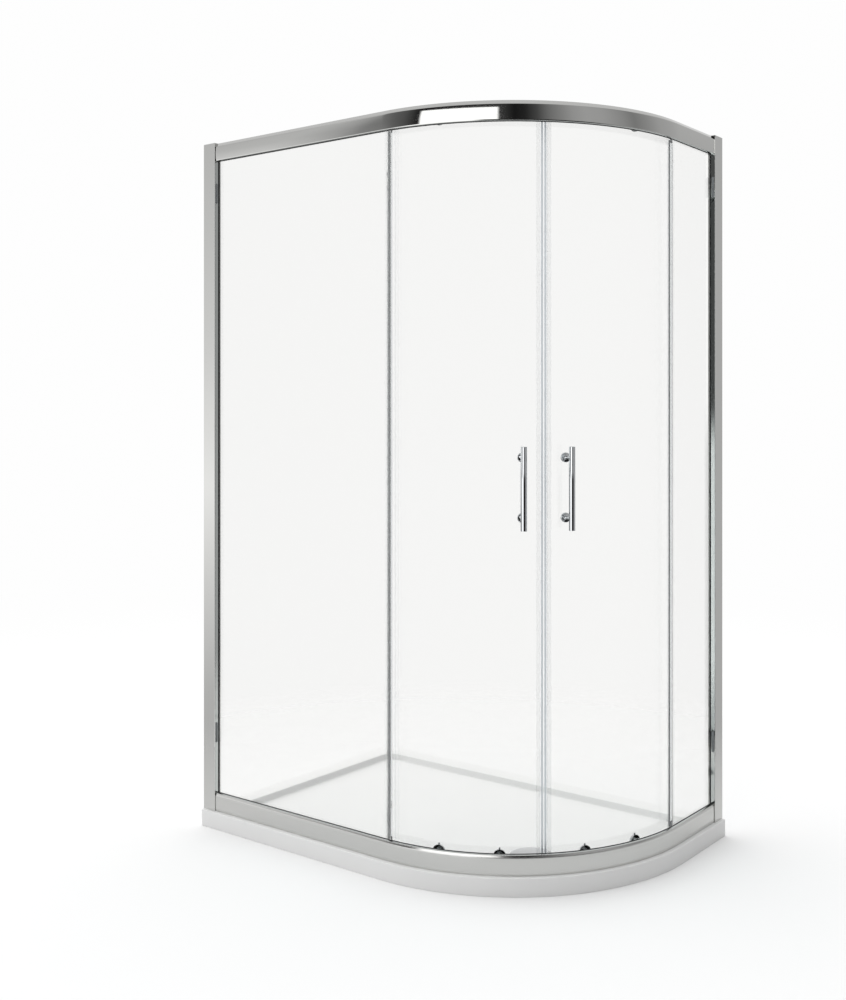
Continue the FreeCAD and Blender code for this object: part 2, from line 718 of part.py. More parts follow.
def setting_blocks():
    """Two hard blocks under each pane, in the sill's glazing channel, that sit astride its rib."""
    blocks = []
    for side in sides:
        run = tangent[side] - jamb_end
        for share in (block_share, 1 - block_share):
            start = jamb_end + run * share - block_length / 2
            block = wall_block(side, start, start + block_length, web_out_r + block_gap, lip_r - block_gap,
                               sill_boss_z + boss_radius / 2, pane_low_z - gasket_floor)
            foot = wall_point(side, start, boss_r, sill_boss_z)
            blocks.append(block.cut(Part.makeCylinder(boss_radius, block_length, foot, into_room(side))))
    return group(blocks)


def edge_seal(side):
    """Clear profile on the pane's free edge: a U grip, a nose that follows the round and a soft hook."""
    low, high = between_beads()
    edge = tangent[side] + pane_overlap
    out_r, in_r = pane_out_r + seal_thick, pane_in_r - seal_thick
    grip = wall_block(side, edge - seal_grip, edge + seal_thick, in_r, out_r, low, high)
    grip = grip.cut(wall_block(side, edge - seal_grip, edge, pane_in_r, pane_out_r, low, high))
    middle, tip = edge + nose_length / 2, edge + nose_length
    middle_r, tip_r = out_r - nose_half_drop, out_r - nose_drop
    nose = wall_prism(side, [(edge, out_r), (middle, middle_r), (tip, tip_r), (tip, tip_r - seal_thick),
                             (middle, middle_r - nose_wall), (edge, out_r - nose_wall)], low, high)
    root, end = edge - hook_foot, edge - hook_foot - hook_back
    hook = wall_prism(side, [(root, in_r), (root + seal_thick, in_r),
                             (end + door_seal_thick, in_r - hook_depth), (end, in_r - hook_depth)], low, high)
    rib = wall_block(side, middle - seal_thick, middle, pane_in_r, middle_r - nose_wall / 2, low, high)
    return fuse([grip, nose, hook, rib])


# ---------------------------------------------------------------- doors
door_start = door_degrees(door_leading)
door_end = 45 + door_degrees(door_trailing)


def door_glass(side):
    glass = sector(side, door_in_r, door_out_r, door_start, door_end, door_low_z, door_high_z)
    for _, place in roller_places:
        for z in (low_axis_z, high_axis_z):
            glass = glass.cut(spoke(side, place, z, door_in_r - 2, door_out_r + 2, glass_hole_dia / 2))
    for z in handle_post_heights():
        glass = glass.cut(spoke(side, handle_angle, z, door_in_r - 2, door_out_r + 2, handle_hole_dia / 2))
    return glass


def magnet_seal(side):
    """Clear profile on the leading edge with a closed nose that holds the magnet strip."""
    out_r, in_r = door_out_r + door_seal_thick, door_in_r - door_seal_thick
    low, high = door_low_z + door_seal_inset, door_high_z - door_seal_inset
    grip = door_start + door_degrees(magnet_grip)
    body = sector(side, in_r, out_r, door_degrees(door_meeting_gap), grip, low, high)
    body = body.cut(sector(side, door_in_r, door_out_r, door_start, grip, low, high))
    return body.cut(magnet_space(side, 0))


def magnet_space(side, shrink):
    first = door_degrees(door_meeting_gap + door_seal_thick)
    last = door_degrees(door_leading - magnet_root)
    inner, outer = door_in_r + magnet_wall + shrink, door_out_r - magnet_wall - shrink
    return sector(side, inner, outer, first, last, door_low_z + door_seal_inset, door_high_z - door_seal_inset)


def trailing_seal(side):
    """Clear profile on the trailing edge with an outward fin towards the pane."""
    out_r, in_r = door_out_r + door_seal_thick, door_in_r - door_seal_thick
    grip = door_end - door_degrees(seal_grip)
    nose = door_end + door_degrees(seal_thick)
    low = sill_track_z + web_over_track + trailing_end_gap
    high = header_track_z - track_thick - trailing_end_gap
    body = sector(side, in_r, out_r, grip, nose, low, high)
    body = body.cut(sector(side, door_in_r, door_out_r, grip, door_end, low, high))
    tail = sector(side, out_r - door_seal_thick, out_r, nose, nose + door_degrees(trailing_tail), low, high)
    fin_start = grip + door_degrees(door_seal_thick)
    fin_end = fin_start + door_degrees(door_seal_thick)
    fin = sector(side, out_r, pane_in_r - trailing_fin_gap, fin_start, fin_end, low, high)
    return fuse([body, tail, fin])


def bottom_seal(side):
    """Clear drip profile along the bottom edge, with a hanging fin."""
    out_r, in_r = door_out_r + door_seal_thick, door_in_r - door_seal_thick
    first = door_start + door_degrees(seal_grip)
    last = door_end - door_degrees(door_seal_thick)
    body = sector(side, in_r, out_r, first, last, door_low_z - drip_floor, door_low_z + drip_grip)
    body = body.cut(sector(side, door_in_r, door_out_r, first, last, door_low_z, door_low_z + drip_grip))
    fin_r = door_out_r - door_seal_thick
    fin = sector(side, fin_r, door_out_r, first, last, door_low_z - drip_fin, door_low_z - drip_floor)
    return fuse([body, fin])


def seated_inside(shape):
    """Trimmed to the curve of the door glass's inner face."""
    return shape.common(Part.makeCylinder(door_in_r, top_z, arc_centre))


def roller_axle(side, place, z):
    """Bolt through the glass: eccentric in the hole, collar, journal and a head that keeps the wheel."""
    start = hub_in_r + hub_bore_floor
    collar_end, head = wheel_in_r - collar_gap, wheel_out_r + head_gap
    parts = [spoke(side, place, z, start, door_in_r, axle_radius),
             spoke(side, place, z, door_in_r, door_out_r, glass_hole_dia / 2 - glass_hole_gap),
             spoke(side, place, z, door_out_r, collar_end, collar_radius),
             spoke(side, place, z, collar_end, head, axle_radius),
             spoke(side, place, z, head, head + axle_head, axle_head_radius)]
    return fuse(parts)


def roller_wheel(side, place, z):
    """Nylon tyre on a small bearing, with a shallow dish in each face."""
    wheel = spoke(side, place, z, wheel_in_r, wheel_out_r, wheel_radius)
    rims = [edge for edge in wheel.Edges if edge.Curve.TypeId == "Part::GeomCircle"]
    wheel = wheel.makeFillet(wheel_round, rims)
    for face_r, end_r in ((wheel_in_r, wheel_in_r + dish_depth), (wheel_out_r - dish_depth, wheel_out_r)):
        dish = spoke(side, place, z, face_r, end_r, wheel_radius - tyre_width)
        wheel = wheel.cut(dish.cut(spoke(side, place, z, face_r, end_r, axle_radius + bearing_width)))
    return wheel.cut(spoke(side, place, z, wheel_in_r - 1, wheel_out_r + 1, axle_radius + wheel_bore_gap))


def hub_disc(side, place, z, dia):
    """Plated cap on the door's inner face, with a blind hole for the axle and a turned ring on its face."""
    hub = seated_inside(spoke(side, place, z, hub_in_r, door_in_r, dia / 2))
    face_edges = [edge for edge in hub.Edges if edge.Curve.TypeId == "Part::GeomCircle"
                  and (edge.Curve.Center - arc_point(hub_in_r, door_angle(side, place), z)).Length < 0.01]
    hub = hub.makeFillet(hub_round, face_edges)
    outer, inner = dia / 2 - groove_inset, dia / 2 - groove_inset - groove_width
    groove = spoke(side, place, z, hub_in_r, hub_in_r + groove_depth, outer)
    hub = hub.cut(groove.cut(spoke(side, place, z, hub_in_r, hub_in_r + groove_depth, inner)))
    return hub.cut(spoke(side, place, z, hub_in_r + hub_bore_floor, door_in_r, axle_radius))


def button_axis(side, place):
    return arc_point((hub_in_r + door_in_r) / 2, door_angle(side, place))


def button_heights():
    """Lowest point, housing's top and top of a quick-release button at rest."""
    housing_top = low_axis_z + hub_dia / 2
    return housing_top - button_grip, housing_top, housing_top + button_out


def roller_housing(side, place):
    low, top, _ = button_heights()
    centre = button_axis(side, place)
    housing = hub_disc(side, place, low_axis_z, hub_dia)
    floor = low_axis_z + axle_radius + spring_floor
    shoulder = low + button_foot + button_gap
    housing = housing.cut(disc(button_dia / 2 + button_gap, floor, shoulder, centre))
    return housing.cut(disc(button_neck / 2 + button_gap, floor, top + 5, centre))


def release_button(side, place):
    low, top, high = button_heights()
    centre = button_axis(side, place)
    foot = disc(button_dia / 2, low, low + button_foot, centre)
    button = foot.fuse(disc(button_neck / 2, low, high, centre))
    crown = [edge for edge in button.Edges if abs(edge.BoundBox.ZMin - high) < 1e-6]
    return button.makeFillet(button_crown, crown)


def release_spring(side, place):
    """Coil under the button, drawn at the length that it has with the button down."""
    low, _, _ = button_heights()
    centre = button_axis(side, place)
    coil_low = low_axis_z + axle_radius + spring_floor + spring_wire / 2
    coil_high = low - button_travel - spring_gap - spring_wire / 2
    coil_r = button_dia / 2 - spring_wire
    height = coil_high - coil_low
    helix = Part.makeHelix(height / spring_turns, height, coil_r)
    helix.translate(Vector(centre.x, centre.y, coil_low))
    start = Vector(centre.x + coil_r, centre.y, coil_low)
    wire = Part.Wire(Part.makeCircle(spring_wire / 2, start, Vector(0, 1, 0)))
    return Part.Wire(helix.Edges).makePipeShell([wire], True, False)


def handle_post_heights():
    return handle_z - handle_pitch / 2, handle_z + handle_pitch / 2


def handle_bar(side):
    centre = arc_point(door_out_r + handle_standoff, door_angle(side, handle_angle))
    bar = disc(handle_bar_dia / 2, handle_z - handle_length / 2, handle_z + handle_length / 2, centre)
    rims = [edge for edge in bar.Edges if edge.Curve.TypeId == "Part::GeomCircle"]
    bar = bar.makeFillet(bar_round, rims)
    end_r = door_out_r + handle_standoff - handle_bar_dia / 2 + post_socket
    for z in handle_post_heights():
        bar = bar.cut(spoke(side, handle_angle, z, door_out_r, end_r, post_dia / 2))
    return bar


def handle_posts(side):
    """Rose against the glass with a stem that enters the bar."""
    pieces = []
    start = door_out_r + washer_thick
    end_r = door_out_r + handle_standoff - handle_bar_dia / 2 + post_socket
    for z in handle_post_heights():
        rose = spoke(side, handle_angle, z, start, start + rose_thick, rose_dia / 2)
        face_centre = arc_point(start + rose_thick, door_angle(side, handle_angle), z)
        face_edges = [edge for edge in rose.Edges if edge.Curve.TypeId == "Part::GeomCircle"
                      and (edge.Curve.Center - face_centre).Length < 0.01]
        rose = rose.makeFillet(rose_round, face_edges)
        stem = spoke(side, handle_angle, z, start, end_r, post_dia / 2)
        thread = spoke(side, handle_angle, z, start, start + stud_bite, stud_dia / 2)
        pieces.append(fuse([rose, stem]).cut(thread))
    return group(pieces)


def handle_nuts(side):
    """Round nut inside the door, with the stud that passes through the glass into the rose."""
    pieces = []
    face_r = door_in_r - washer_thick
    for z in handle_post_heights():
        nut = spoke(side, handle_angle, z, face_r - nut_thick, face_r, nut_dia / 2)
        face_centre = arc_point(face_r - nut_thick, door_angle(side, handle_angle), z)
        face_edges = [edge for edge in nut.Edges if edge.Curve.TypeId == "Part::GeomCircle"
                      and (edge.Curve.Center - face_centre).Length < 0.01]
        nut = nut.makeFillet(nut_round, face_edges)
        stud = spoke(side, handle_angle, z, face_r, door_out_r + washer_thick + stud_bite, stud_dia / 2)
        pieces.append(fuse([nut, stud]))
    return group(pieces)


def handle_washers(side):
    """Clear washers on both faces of the glass, with the sleeve in the hole."""
    pieces = []
    outer_r, inner_r = rose_dia / 2 - washer_inset, nut_dia / 2 - washer_inset
    for z in handle_post_heights():
        outer = spoke(side, handle_angle, z, door_out_r, door_out_r + washer_thick, outer_r)
        inner = spoke(side, handle_angle, z, door_in_r - washer_thick, door_in_r, inner_r)
        for washer in (outer, seated_inside(inner)):
            stud_hole = spoke(side, handle_angle, z, door_in_r - 2, door_out_r + 2, stud_dia / 2)
            pieces.append(washer.cut(stud_hole))
        sleeve = spoke(side, handle_angle, z, door_in_r, door_out_r, handle_hole_dia / 2 - glass_hole_gap)
        pieces.append(sleeve.cut(spoke(side, handle_angle, z, door_in_r - 1, door_out_r + 1, stud_dia / 2)))
    return group(pieces)


def header_stops():
    """Rubber blocks on the header's track where each trailing wheel ends its run."""
    blocks = []
    for side, travel in (("left", door_travel_left), ("right", door_travel_right)):
        past = math.radians(roller_trailing + travel - 45)
        end = tangent[side] - wheel_track_r * math.sin(past) - wheel_radius - stop_gap
        blocks.append(wall_block(side, end - stop_size, end, track_in_r + stop_inset, web_in_r,
                                 header_track_z, header_track_z + stop_size))
    return group(blocks)


# ---------------------------------------------------------------- the list of sub-parts
def door_pieces(side):
    high_caps = [hub_disc(side, roller_trailing, high_axis_z, hub_dia),
                 hub_disc(side, roller_leading, high_axis_z, small_hub_dia)]
    axles = [roller_axle(side, place, z) for _, place in roller_places for z in (low_axis_z, high_axis_z)]
    pieces = {
        f"door_glass_{side}": door_glass(side),
        f"magnet_seal_{side}": magnet_seal(side),
        f"magnet_strip_{side}": magnet_space(side, magnet_fit),
        f"trailing_seal_{side}": trailing_seal(side),
        f"bottom_seal_{side}": bottom_seal(side),
        f"handle_bar_{side}": handle_bar(side),
        f"handle_posts_{side}": handle_posts(side),
        f"handle_nuts_{side}": handle_nuts(side),
        f"handle_washers_{side}": handle_washers(side),
        f"top_roller_caps_{side}": group(high_caps),
        f"roller_housings_{side}": group(roller_housing(side, place) for _, place in roller_places),
        f"roller_axles_{side}": group(axles),
        f"release_springs_{side}": group(release_spring(side, place) for _, place in roller_places),
    }
    for name, place in roller_places:
        pieces[f"top_wheel_{side}_{name}"] = roller_wheel(side, place, high_axis_z)
        pieces[f"bottom_wheel_{side}_{name}"] = roller_wheel(side, place, low_axis_z)
        pieces[f"release_button_{side}_{name}"] = release_button(side, place)
    return pieces


def frame_pieces():
    pieces = {"shower_tray": shower_tray(), "header_rail": header_rail(), "sill_rail": sill_rail(),
              "frame_screws": screws(), "header_stops": header_stops(), "setting_blocks": setting_blocks(),
              "profile_caps": group(profile_cap(side) for side in sides),
              "adjuster_covers": group(adjuster_cover(side, z) for side in sides for z in adjuster_heights()),
              "jamb_gaskets": group(jamb_gasket(side, face_r, slot_r) for side in sides
                                    for face_r, slot_r in ((pane_out_r, slot_out_r), (pane_in_r, slot_in_r))),
              "rail_gaskets": rail_rubbers()}
    for side in sides:
        pieces[f"wall_profile_{side}"] = wall_profile(side)
        pieces[f"jamb_{side}"] = jamb(side)
        pieces[f"fixed_pane_{side}"] = fixed_pane(side)
        pieces[f"edge_seal_{side}"] = edge_seal(side)
    return pieces


def main():
    os.makedirs("parts", exist_ok=True)
    pieces = frame_pieces()
    pieces.update(waste_pieces())
    for side in sides:
        pieces.update(door_pieces(side))
    for name, shape in sorted(pieces.items()):
        shape.exportStep(f"parts/{name}.step")
        print(name, len(shape.Solids), "solids", round(shape.Volume / 1000, 2), "cm3", shape.isValid())
    print(len(pieces), "sub-parts")


main()
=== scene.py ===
"""Looks of an offset quadrant shower enclosure on its tray. Sizes are in millimetres until a mesh is made."""
import math

import bpy
import numpy as np
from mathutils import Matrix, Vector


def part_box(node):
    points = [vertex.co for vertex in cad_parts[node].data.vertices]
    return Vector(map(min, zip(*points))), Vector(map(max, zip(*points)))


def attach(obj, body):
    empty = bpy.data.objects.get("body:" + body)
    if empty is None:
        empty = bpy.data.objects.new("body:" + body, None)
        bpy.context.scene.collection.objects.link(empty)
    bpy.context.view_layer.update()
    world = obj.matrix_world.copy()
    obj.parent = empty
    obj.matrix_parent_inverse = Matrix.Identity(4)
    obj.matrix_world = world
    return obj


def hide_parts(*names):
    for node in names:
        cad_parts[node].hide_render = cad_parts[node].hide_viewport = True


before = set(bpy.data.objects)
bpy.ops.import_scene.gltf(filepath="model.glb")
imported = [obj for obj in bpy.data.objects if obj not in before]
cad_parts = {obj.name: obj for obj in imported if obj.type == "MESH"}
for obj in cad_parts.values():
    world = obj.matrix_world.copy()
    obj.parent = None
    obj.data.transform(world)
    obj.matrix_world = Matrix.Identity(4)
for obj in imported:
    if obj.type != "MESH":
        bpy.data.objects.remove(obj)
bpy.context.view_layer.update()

# ------------------------------------------------------------------------------------------ shower tray
# One casting of resin stone under a white gel coat, with a rim that carries the rails, a recess and a
# floor that falls to the waste. The coat is sprayed into the mould, so it comes out smooth, with a ripple
# like orange peel and a rim that is rounded over by hand.
mm = 0.001
sides = ("left", "right")
tray_low, tray_high = (np.array(corner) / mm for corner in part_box("shower_tray"))
rim_z = tray_high[2]
tray_radius = 550.0
arc_x = tray_high[0] - tray_radius
arc_y = tray_low[1] + tray_radius
rim_front, rim_wall = 62.0, 54.0
tray_corner, tray_edge, recess_corner = 2.5, 2.0, 40.0
floor_z, waste_z = rim_z - 18.0, rim_z - 22.0
waste_x, waste_y = np.array([arc_x, arc_y]) + 360.0 * np.array([1, -1]) / math.sqrt(2)
flange_seat_radius, waste_hole_radius, trap_seat_radius, trap_seat_z = 58.1, 45.0, 60.0, 10.0
fall_reach = 320.0
gel_white = "F5F5F4"


def linear(colour):
    """Linear RGBA of an sRGB hex colour: each channel with the sRGB curve undone."""
    channels = np.array([int(colour[i:i + 2], 16) / 255 for i in (0, 2, 4)])
    channels = np.where(channels <= 0.04045, channels / 12.92, ((channels + 0.055) / 1.055) ** 2.4)
    return (*channels.tolist(), 1.0)


def add(tree, kind, inputs=None, **settings):
    """A node with its settings, and inputs that are either values or the sockets that feed them."""
    node = tree.nodes.new("ShaderNode" + kind)
    for name, value in settings.items():
        setattr(node, name, value)
    for name, value in (inputs or {}).items():
        if isinstance(value, bpy.types.NodeSocket):
            tree.links.new(value, node.inputs[name])
        else:
            node.inputs[name].default_value = value
    return node


def material(name, build):
    """A material whose surface is the shader that build(tree) returns."""
    made = bpy.data.materials.new(name)
    made.use_nodes = True
    tree = made.node_tree
    tree.nodes.clear()
    shader = build(tree)
    tree.links.new(shader, add(tree, "OutputMaterial").inputs["Surface"])
    return made


def gel_coat(tree):
    """White gel coat: orange peel 3 mm across, and a sheen that changes where it is walked on and wiped."""
    place = add(tree, "TexCoord").outputs["Object"]
    peel = add(tree, "TexNoise", {"Vector": place, "Scale": 1 / 0.003, "Detail": 2.0})
    wiped = add(tree, "TexNoise", {"Vector": place, "Scale": 1 / 0.18, "Detail": 4.0})
    rough = add(tree, "MapRange", {"Value": wiped.outputs["Fac"], "From Min": 0.3, "From Max": 0.7,
                                   "To Min": 0.3, "To Max": 0.4})
    tint = add(tree, "MixRGB", {"Fac": wiped.outputs["Fac"], "Color1": linear(gel_white),
                                "Color2": linear("F1F1F1")})
    bump = add(tree, "Bump", {"Height": peel.outputs["Fac"], "Strength": 0.12, "Distance": 0.0002})
    return add(tree, "BsdfPrincipled", {"Base Color": tint.outputs[0], "Roughness": rough.outputs[0],
                                        "IOR": 1.5, "Normal": bump.outputs[0]}).outputs[0]


def arc(centre, radius, start, end, steps):
    """Points on a circle from one angle to another: centre + radius (cos, sin)."""
    turn = np.radians(np.linspace(start, end, steps + 1))
    return np.array(centre) + radius * np.column_stack([np.cos(turn), np.sin(turn)])


def between(start, end, steps):
    """Points evenly from one to the other, without the two ends."""
    share = np.linspace(0, 1, steps + 1)[1:-1, None]
    return (1 - share) * np.array(start) + share * np.array(end)


def grid(points, close_rows=False, close_columns=True):
    """Shell from a (rows, columns, 3) grid of points, with a quad between each four neighbours. Rows that
    don't close on each other end in flat caps."""
    rows, columns = points.shape[:2]
    index = np.arange(rows * columns).reshape(rows, columns)
    around = np.hstack([index, index[:, :1]]) if close_columns else index
    along = np.vstack([around, around[:1]]) if close_rows else around
    faces = [np.stack([along[:-1, :-1], along[:-1, 1:], along[1:, 1:], along[1:, :-1]], axis=-1).reshape(-1, 4)]
    if not close_rows:
        faces += [index[:1, ::-1], index[-1:]]
    steps = np.linalg.norm(np.diff(points, axis=0, prepend=points[:1]), axis=-1).cumsum(axis=0)
    turns = np.linalg.norm(np.diff(points, axis=1, prepend=points[:, :1]), axis=-1).cumsum(axis=1)
    skin = np.dstack([steps, turns, np.zeros_like(steps)])
    return points.reshape(-1, 3), faces, skin.reshape(-1, 3)


def enclosed(points, faces):
    """Six times the volume under the faces: the sum of p0 . (p1 x p2) over the triangles of their fans."""
    first = points[faces[:, 0]]
    return sum(np.einsum("ij,ij->", first, np.cross(points[faces[:, k]], points[faces[:, k + 1]]))
               for k in range(1, faces.shape[1] - 1))


def piece(name, shells, finish, body, replaced=(), crease=32.0):
    """Object from closed shells, each turned so that its volume is positive, with creases past an angle.
    The attribute skin holds each point's way along and around its shell, in metres."""
    start = 0
    points, faces, skins = [], [], []
    for shell_points, shell_faces, skin in shells:
        outward = sum(enclosed(shell_points, each) for each in shell_faces) > 0
        for each in shell_faces:
            faces += ((each if outward else each[:, ::-1]) + start).tolist()
        points.append(shell_points)
        skins.append(skin)
        start += len(shell_points)
    mesh = bpy.data.meshes.new(name)
    mesh.from_pydata(np.concatenate(points) * mm, [], faces)
    mesh.attributes.new("skin", "FLOAT_VECTOR", "POINT").data.foreach_set(
        "vector", (np.concatenate(skins) * mm).astype(np.float32).ravel())
    mesh.polygons.foreach_set("use_smooth", np.ones(len(faces), bool))
    mesh.set_sharp_from_angle(angle=math.radians(crease))
    mesh.materials.append(finish)
    thing = bpy.data.objects.new(name, mesh)
    bpy.context.scene.collection.objects.link(thing)
    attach(thing, body)
    if replaced:
        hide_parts(*replaced)
    return thing


def tray_outline(front, wall, corner):
    """The tray's outline moved in by one amount on the fronts and another on the walls, always with the
    same points: four arcs joined by straight runs."""
    west, east = tray_low[0] + wall, tray_high[0] - front
    south, north = tray_low[1] + front, tray_high[1] - wall
    arcs = [arc((west + corner, south + corner), corner, 180, 270, 10),
            arc((arc_x, arc_y), tray_radius - front, -90, 0, 90),
            arc((east - corner, north - corner), corner, 0, 90, 10),
            arc((west + corner, north - corner), corner, 90, 180, 10)]
    runs = [between(one[-1], other[0], 24) for one, other in zip(arcs, arcs[1:] + arcs[:1])]
    return np.vstack([part for pair in zip(arcs, runs) for part in pair])


def tray_rings():
    """Closed loops from the underside out, up the side, over the rim, down into the recess and across the
    floor to the waste. Between the recess and the waste, each point runs straight towards the waste, and
    the floor falls like a shallow dish: its drop grows as the power 1.5 of the way inside the fall's reach."""
    def level(outline, z):
        return np.column_stack([outline, np.full(len(outline), z)])

    floor = tray_outline(rim_front + 11.0, rim_wall + 11.0, recess_corner - 11.0)
    away = floor - (waste_x, waste_y)
    reach = np.linalg.norm(away, axis=1)
    heading = away / reach[:, None]

    def circle(radius, z):
        return level((waste_x, waste_y) + radius * heading, z)

    yield circle(waste_hole_radius, waste_z - 3.2)
    yield circle(waste_hole_radius, trap_seat_z)
    yield circle(trap_seat_radius, trap_seat_z)
    yield circle(trap_seat_radius, 0.0)
    yield level(tray_outline(0.8, 0.8, tray_corner - 0.8), 0.0)
    yield level(tray_outline(0.0, 0.0, tray_corner), 0.8)
    for turn in np.radians(np.linspace(0, 90, 7)):
        inset = tray_edge * (1 - math.cos(turn))
        yield level(tray_outline(inset, inset, tray_corner - inset), rim_z - tray_edge + tray_edge * math.sin(turn))
    for turn in np.radians(np.linspace(90, 15, 7)):
        inset = 3.0 * math.cos(turn)
        z = rim_z - 3.0 + 3.0 * math.sin(turn)
        yield level(tray_outline(rim_front + inset, rim_wall + inset, recess_corner - inset), z)
    for turn in np.radians(np.linspace(75, 0, 7)):
        inset = 11.0 - 5.2 * math.sin(turn)
        z = floor_z + 5.2 * (1 - math.cos(turn))
        yield level(tray_outline(rim_front + inset, rim_wall + inset, recess_corner - inset), z)
    for share in np.linspace(0, 1, 25)[1:]:
        radius = (1 - share) * reach + share * (flange_seat_radius + 1.5)
        inside = np.clip((fall_reach - radius) / (fall_reach - flange_seat_radius), 0, 1)
        drop = (floor_z - waste_z) * inside ** 1.5
        points = (waste_x, waste_y) + radius[:, None] * heading
        yield np.column_stack([points, floor_z - drop])
    yield circle(flange_seat_radius, waste_z - 0.8)
    yield circle(flange_seat_radius, waste_z - 3.2)


white_gel_coat = material("white_gel_coat", gel_coat)
piece("tray_casting", [grid(np.array(list(tray_rings())), close_rows=True)], white_gel_coat, "enclosure",
      ["shower_tray"])

# ------------------------------------------------------------------------------------------ waste
# A flange of plated brass screwed down on a rubber seal, with a loose domed cover that hides the
# opening and carries a moulded hair basket. The plating is polished, and the cover is spun thin.
chrome_tint = "D9DBDD"


def polished_chrome(tree):
    """Polished chrome plate: nearly a mirror, with wipe marks about 25 mm across that blur it a little."""
    place = add(tree, "TexCoord").outputs["Object"]
    wipes = add(tree, "TexNoise", {"Vector": place, "Scale": 1 / 0.025, "Detail": 5.0, "Roughness": 0.6})
    rough = add(tree, "MapRange", {"Value": wipes.outputs["Fac"], "From Min": 0.35, "From Max": 0.75,
                                   "To Min": 0.03, "To Max": 0.1})
    return add(tree, "BsdfPrincipled", {"Base Color": linear(chrome_tint), "Metallic": 1.0,
                                        "Roughness": rough.outputs[0]}).outputs[0]


def lathe(profile, foot, axis, steps=48, hollow=False):
    """Shell turned about an axis: each (radius, height) of the profile becomes a circle round the axis. A
    hollow one closes its last circle on its first, and any other ends in two flat caps."""
    axis = np.array(axis, float) / np.linalg.norm(axis)
    first = np.cross(axis, (0, 0, 1) if abs(axis[2]) < 0.9 else (1, 0, 0))
    first /= np.linalg.norm(first)
    second = np.cross(axis, first)
    turn = np.linspace(0, 2 * math.pi, steps, endpoint=False)
    spokes = np.cos(turn)[:, None] * first + np.sin(turn)[:, None] * second
    radius, height = np.array(profile, float).T
    points = np.array(foot) + height[:, None, None] * axis + radius[:, None, None] * spokes
    return grid(points, close_rows=hollow)


def soften(corners, radius, steps=4):
    """Closed outline with each corner rounded: a parabola from radius before the corner to radius after
    it. A corner's radius may be one number for all or one each, and zero keeps it sharp."""
    corners = np.array(corners, float)
    reaches = np.broadcast_to(radius, len(corners))
    before, after = np.roll(corners, 1, axis=0), np.roll(corners, -1, axis=0)
    share = np.linspace(0, 1, steps + 1)[:, None]
    outline = []
    for last, corner, following, reach in zip(before, corners, after, reaches):
        if reach == 0:
            outline.append(corner[None])
            continue
        start = corner + (last - corner) / np.linalg.norm(last - corner) * reach
        end = corner + (following - corner) / np.linalg.norm(following - corner) * reach
        outline.append((1 - share) ** 2 * start + 2 * share * (1 - share) * corner + share ** 2 * end)
    return np.vstack(outline)


chrome = material("polished_chrome", polished_chrome)
waste_foot = (waste_x, waste_y, 0.0)
flange_low, flange_radius, collar_radius, collar_bore = waste_z - 2.2, 57.5, 44.4, 40.9
collar_low = trap_seat_z + 0.3
flange = soften([(collar_bore, collar_low), (collar_radius, collar_low), (collar_radius, flange_low),
                 (flange_radius, flange_low), (flange_radius, waste_z), (collar_bore, waste_z)],
                [0.3, 0.3, 0, 0.3, 1.2, 1.0])
piece("waste_ring", [lathe(flange, waste_foot, (0, 0, 1), 72, hollow=True)], chrome, "enclosure",
      ["waste_flange"])

cover_low, cover_radius, cover_rim, cover_top = waste_z + 6.0, 56.0, 1.6, 5.0
dome = np.linspace(1, 0.02, 24)
crown = np.column_stack([(cover_radius - 1.0) * dome, cover_low + cover_top - (cover_top - cover_rim) * dome ** 2])
cover_profile = np.vstack([[(0.5, cover_low), (48.0, cover_low), (49.0, cover_low + 0.5), (53.0, cover_low + 0.5),
                            (54.0, cover_low), (cover_radius - 0.6, cover_low), (cover_radius, cover_low + 0.6),
                            (cover_radius, cover_low + 1.0), (cover_radius - 0.4, cover_low + 1.4)], crown])
foot_profile = [(2.0, waste_z + 0.1), (2.5, waste_z + 0.6), (2.5, cover_low + 0.3)]
foot_ring = 46.9
feet = [lathe(foot_profile, (waste_x + foot_ring * math.cos(turn), waste_y + foot_ring * math.sin(turn), 0),
              (0, 0, 1), 20) for turn in np.radians([90, 210, 330])]
piece("waste_cap", [lathe(cover_profile, waste_foot, (0, 0, 1), 96)] + feet, chrome, "waste_cover",
      ["waste_cover"])


def black_rubber(tree):
    """Moulded black rubber: dull, with a grain drawn at 0.6 mm so that it shows."""
    place = add(tree, "TexCoord").outputs["Object"]
    grain = add(tree, "TexNoise", {"Vector": place, "Scale": 1 / 0.0006, "Detail": 3.0})
    rough = add(tree, "MapRange", {"Value": grain.outputs["Fac"], "To Min": 0.5, "To Max": 0.75})
    bump = add(tree, "Bump", {"Height": grain.outputs["Fac"], "Strength": 0.3, "Distance": 0.00005})
    return add(tree, "BsdfPrincipled", {"Base Color": linear("1A1B1C"), "Roughness": rough.outputs[0],
                                        "IOR": 1.52, "Normal": bump.outputs[0]}).outputs[0]


def grey_moulding(tree):
    """Moulded grey plastic with a fine spark texture, drawn at 0.8 mm so that it shows."""
    place = add(tree, "TexCoord").outputs["Object"]
    spark = add(tree, "TexNoise", {"Vector": place, "Scale": 1 / 0.0008, "Detail": 2.0})
    bump = add(tree, "Bump", {"Height": spark.outputs["Fac"], "Strength": 0.2, "Distance": 0.00004})
    return add(tree, "BsdfPrincipled", {"Base Color": linear("8C8F92"), "Roughness": 0.38, "IOR": 1.49,
                                        "Normal": bump.outputs[0]}).outputs[0]


def dress(finish, *nodes):
    """Gives solids that keep their own shape a finish in place of their plain one."""
    for node in nodes:
        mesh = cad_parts[node].data
        mesh.materials.clear()
        mesh.materials.append(finish)


rubber = material("black_rubber", black_rubber)
grey_plastic = material("grey_moulding", grey_moulding)
dress(rubber, "waste_seal")
dress(grey_plastic, "hair_basket")

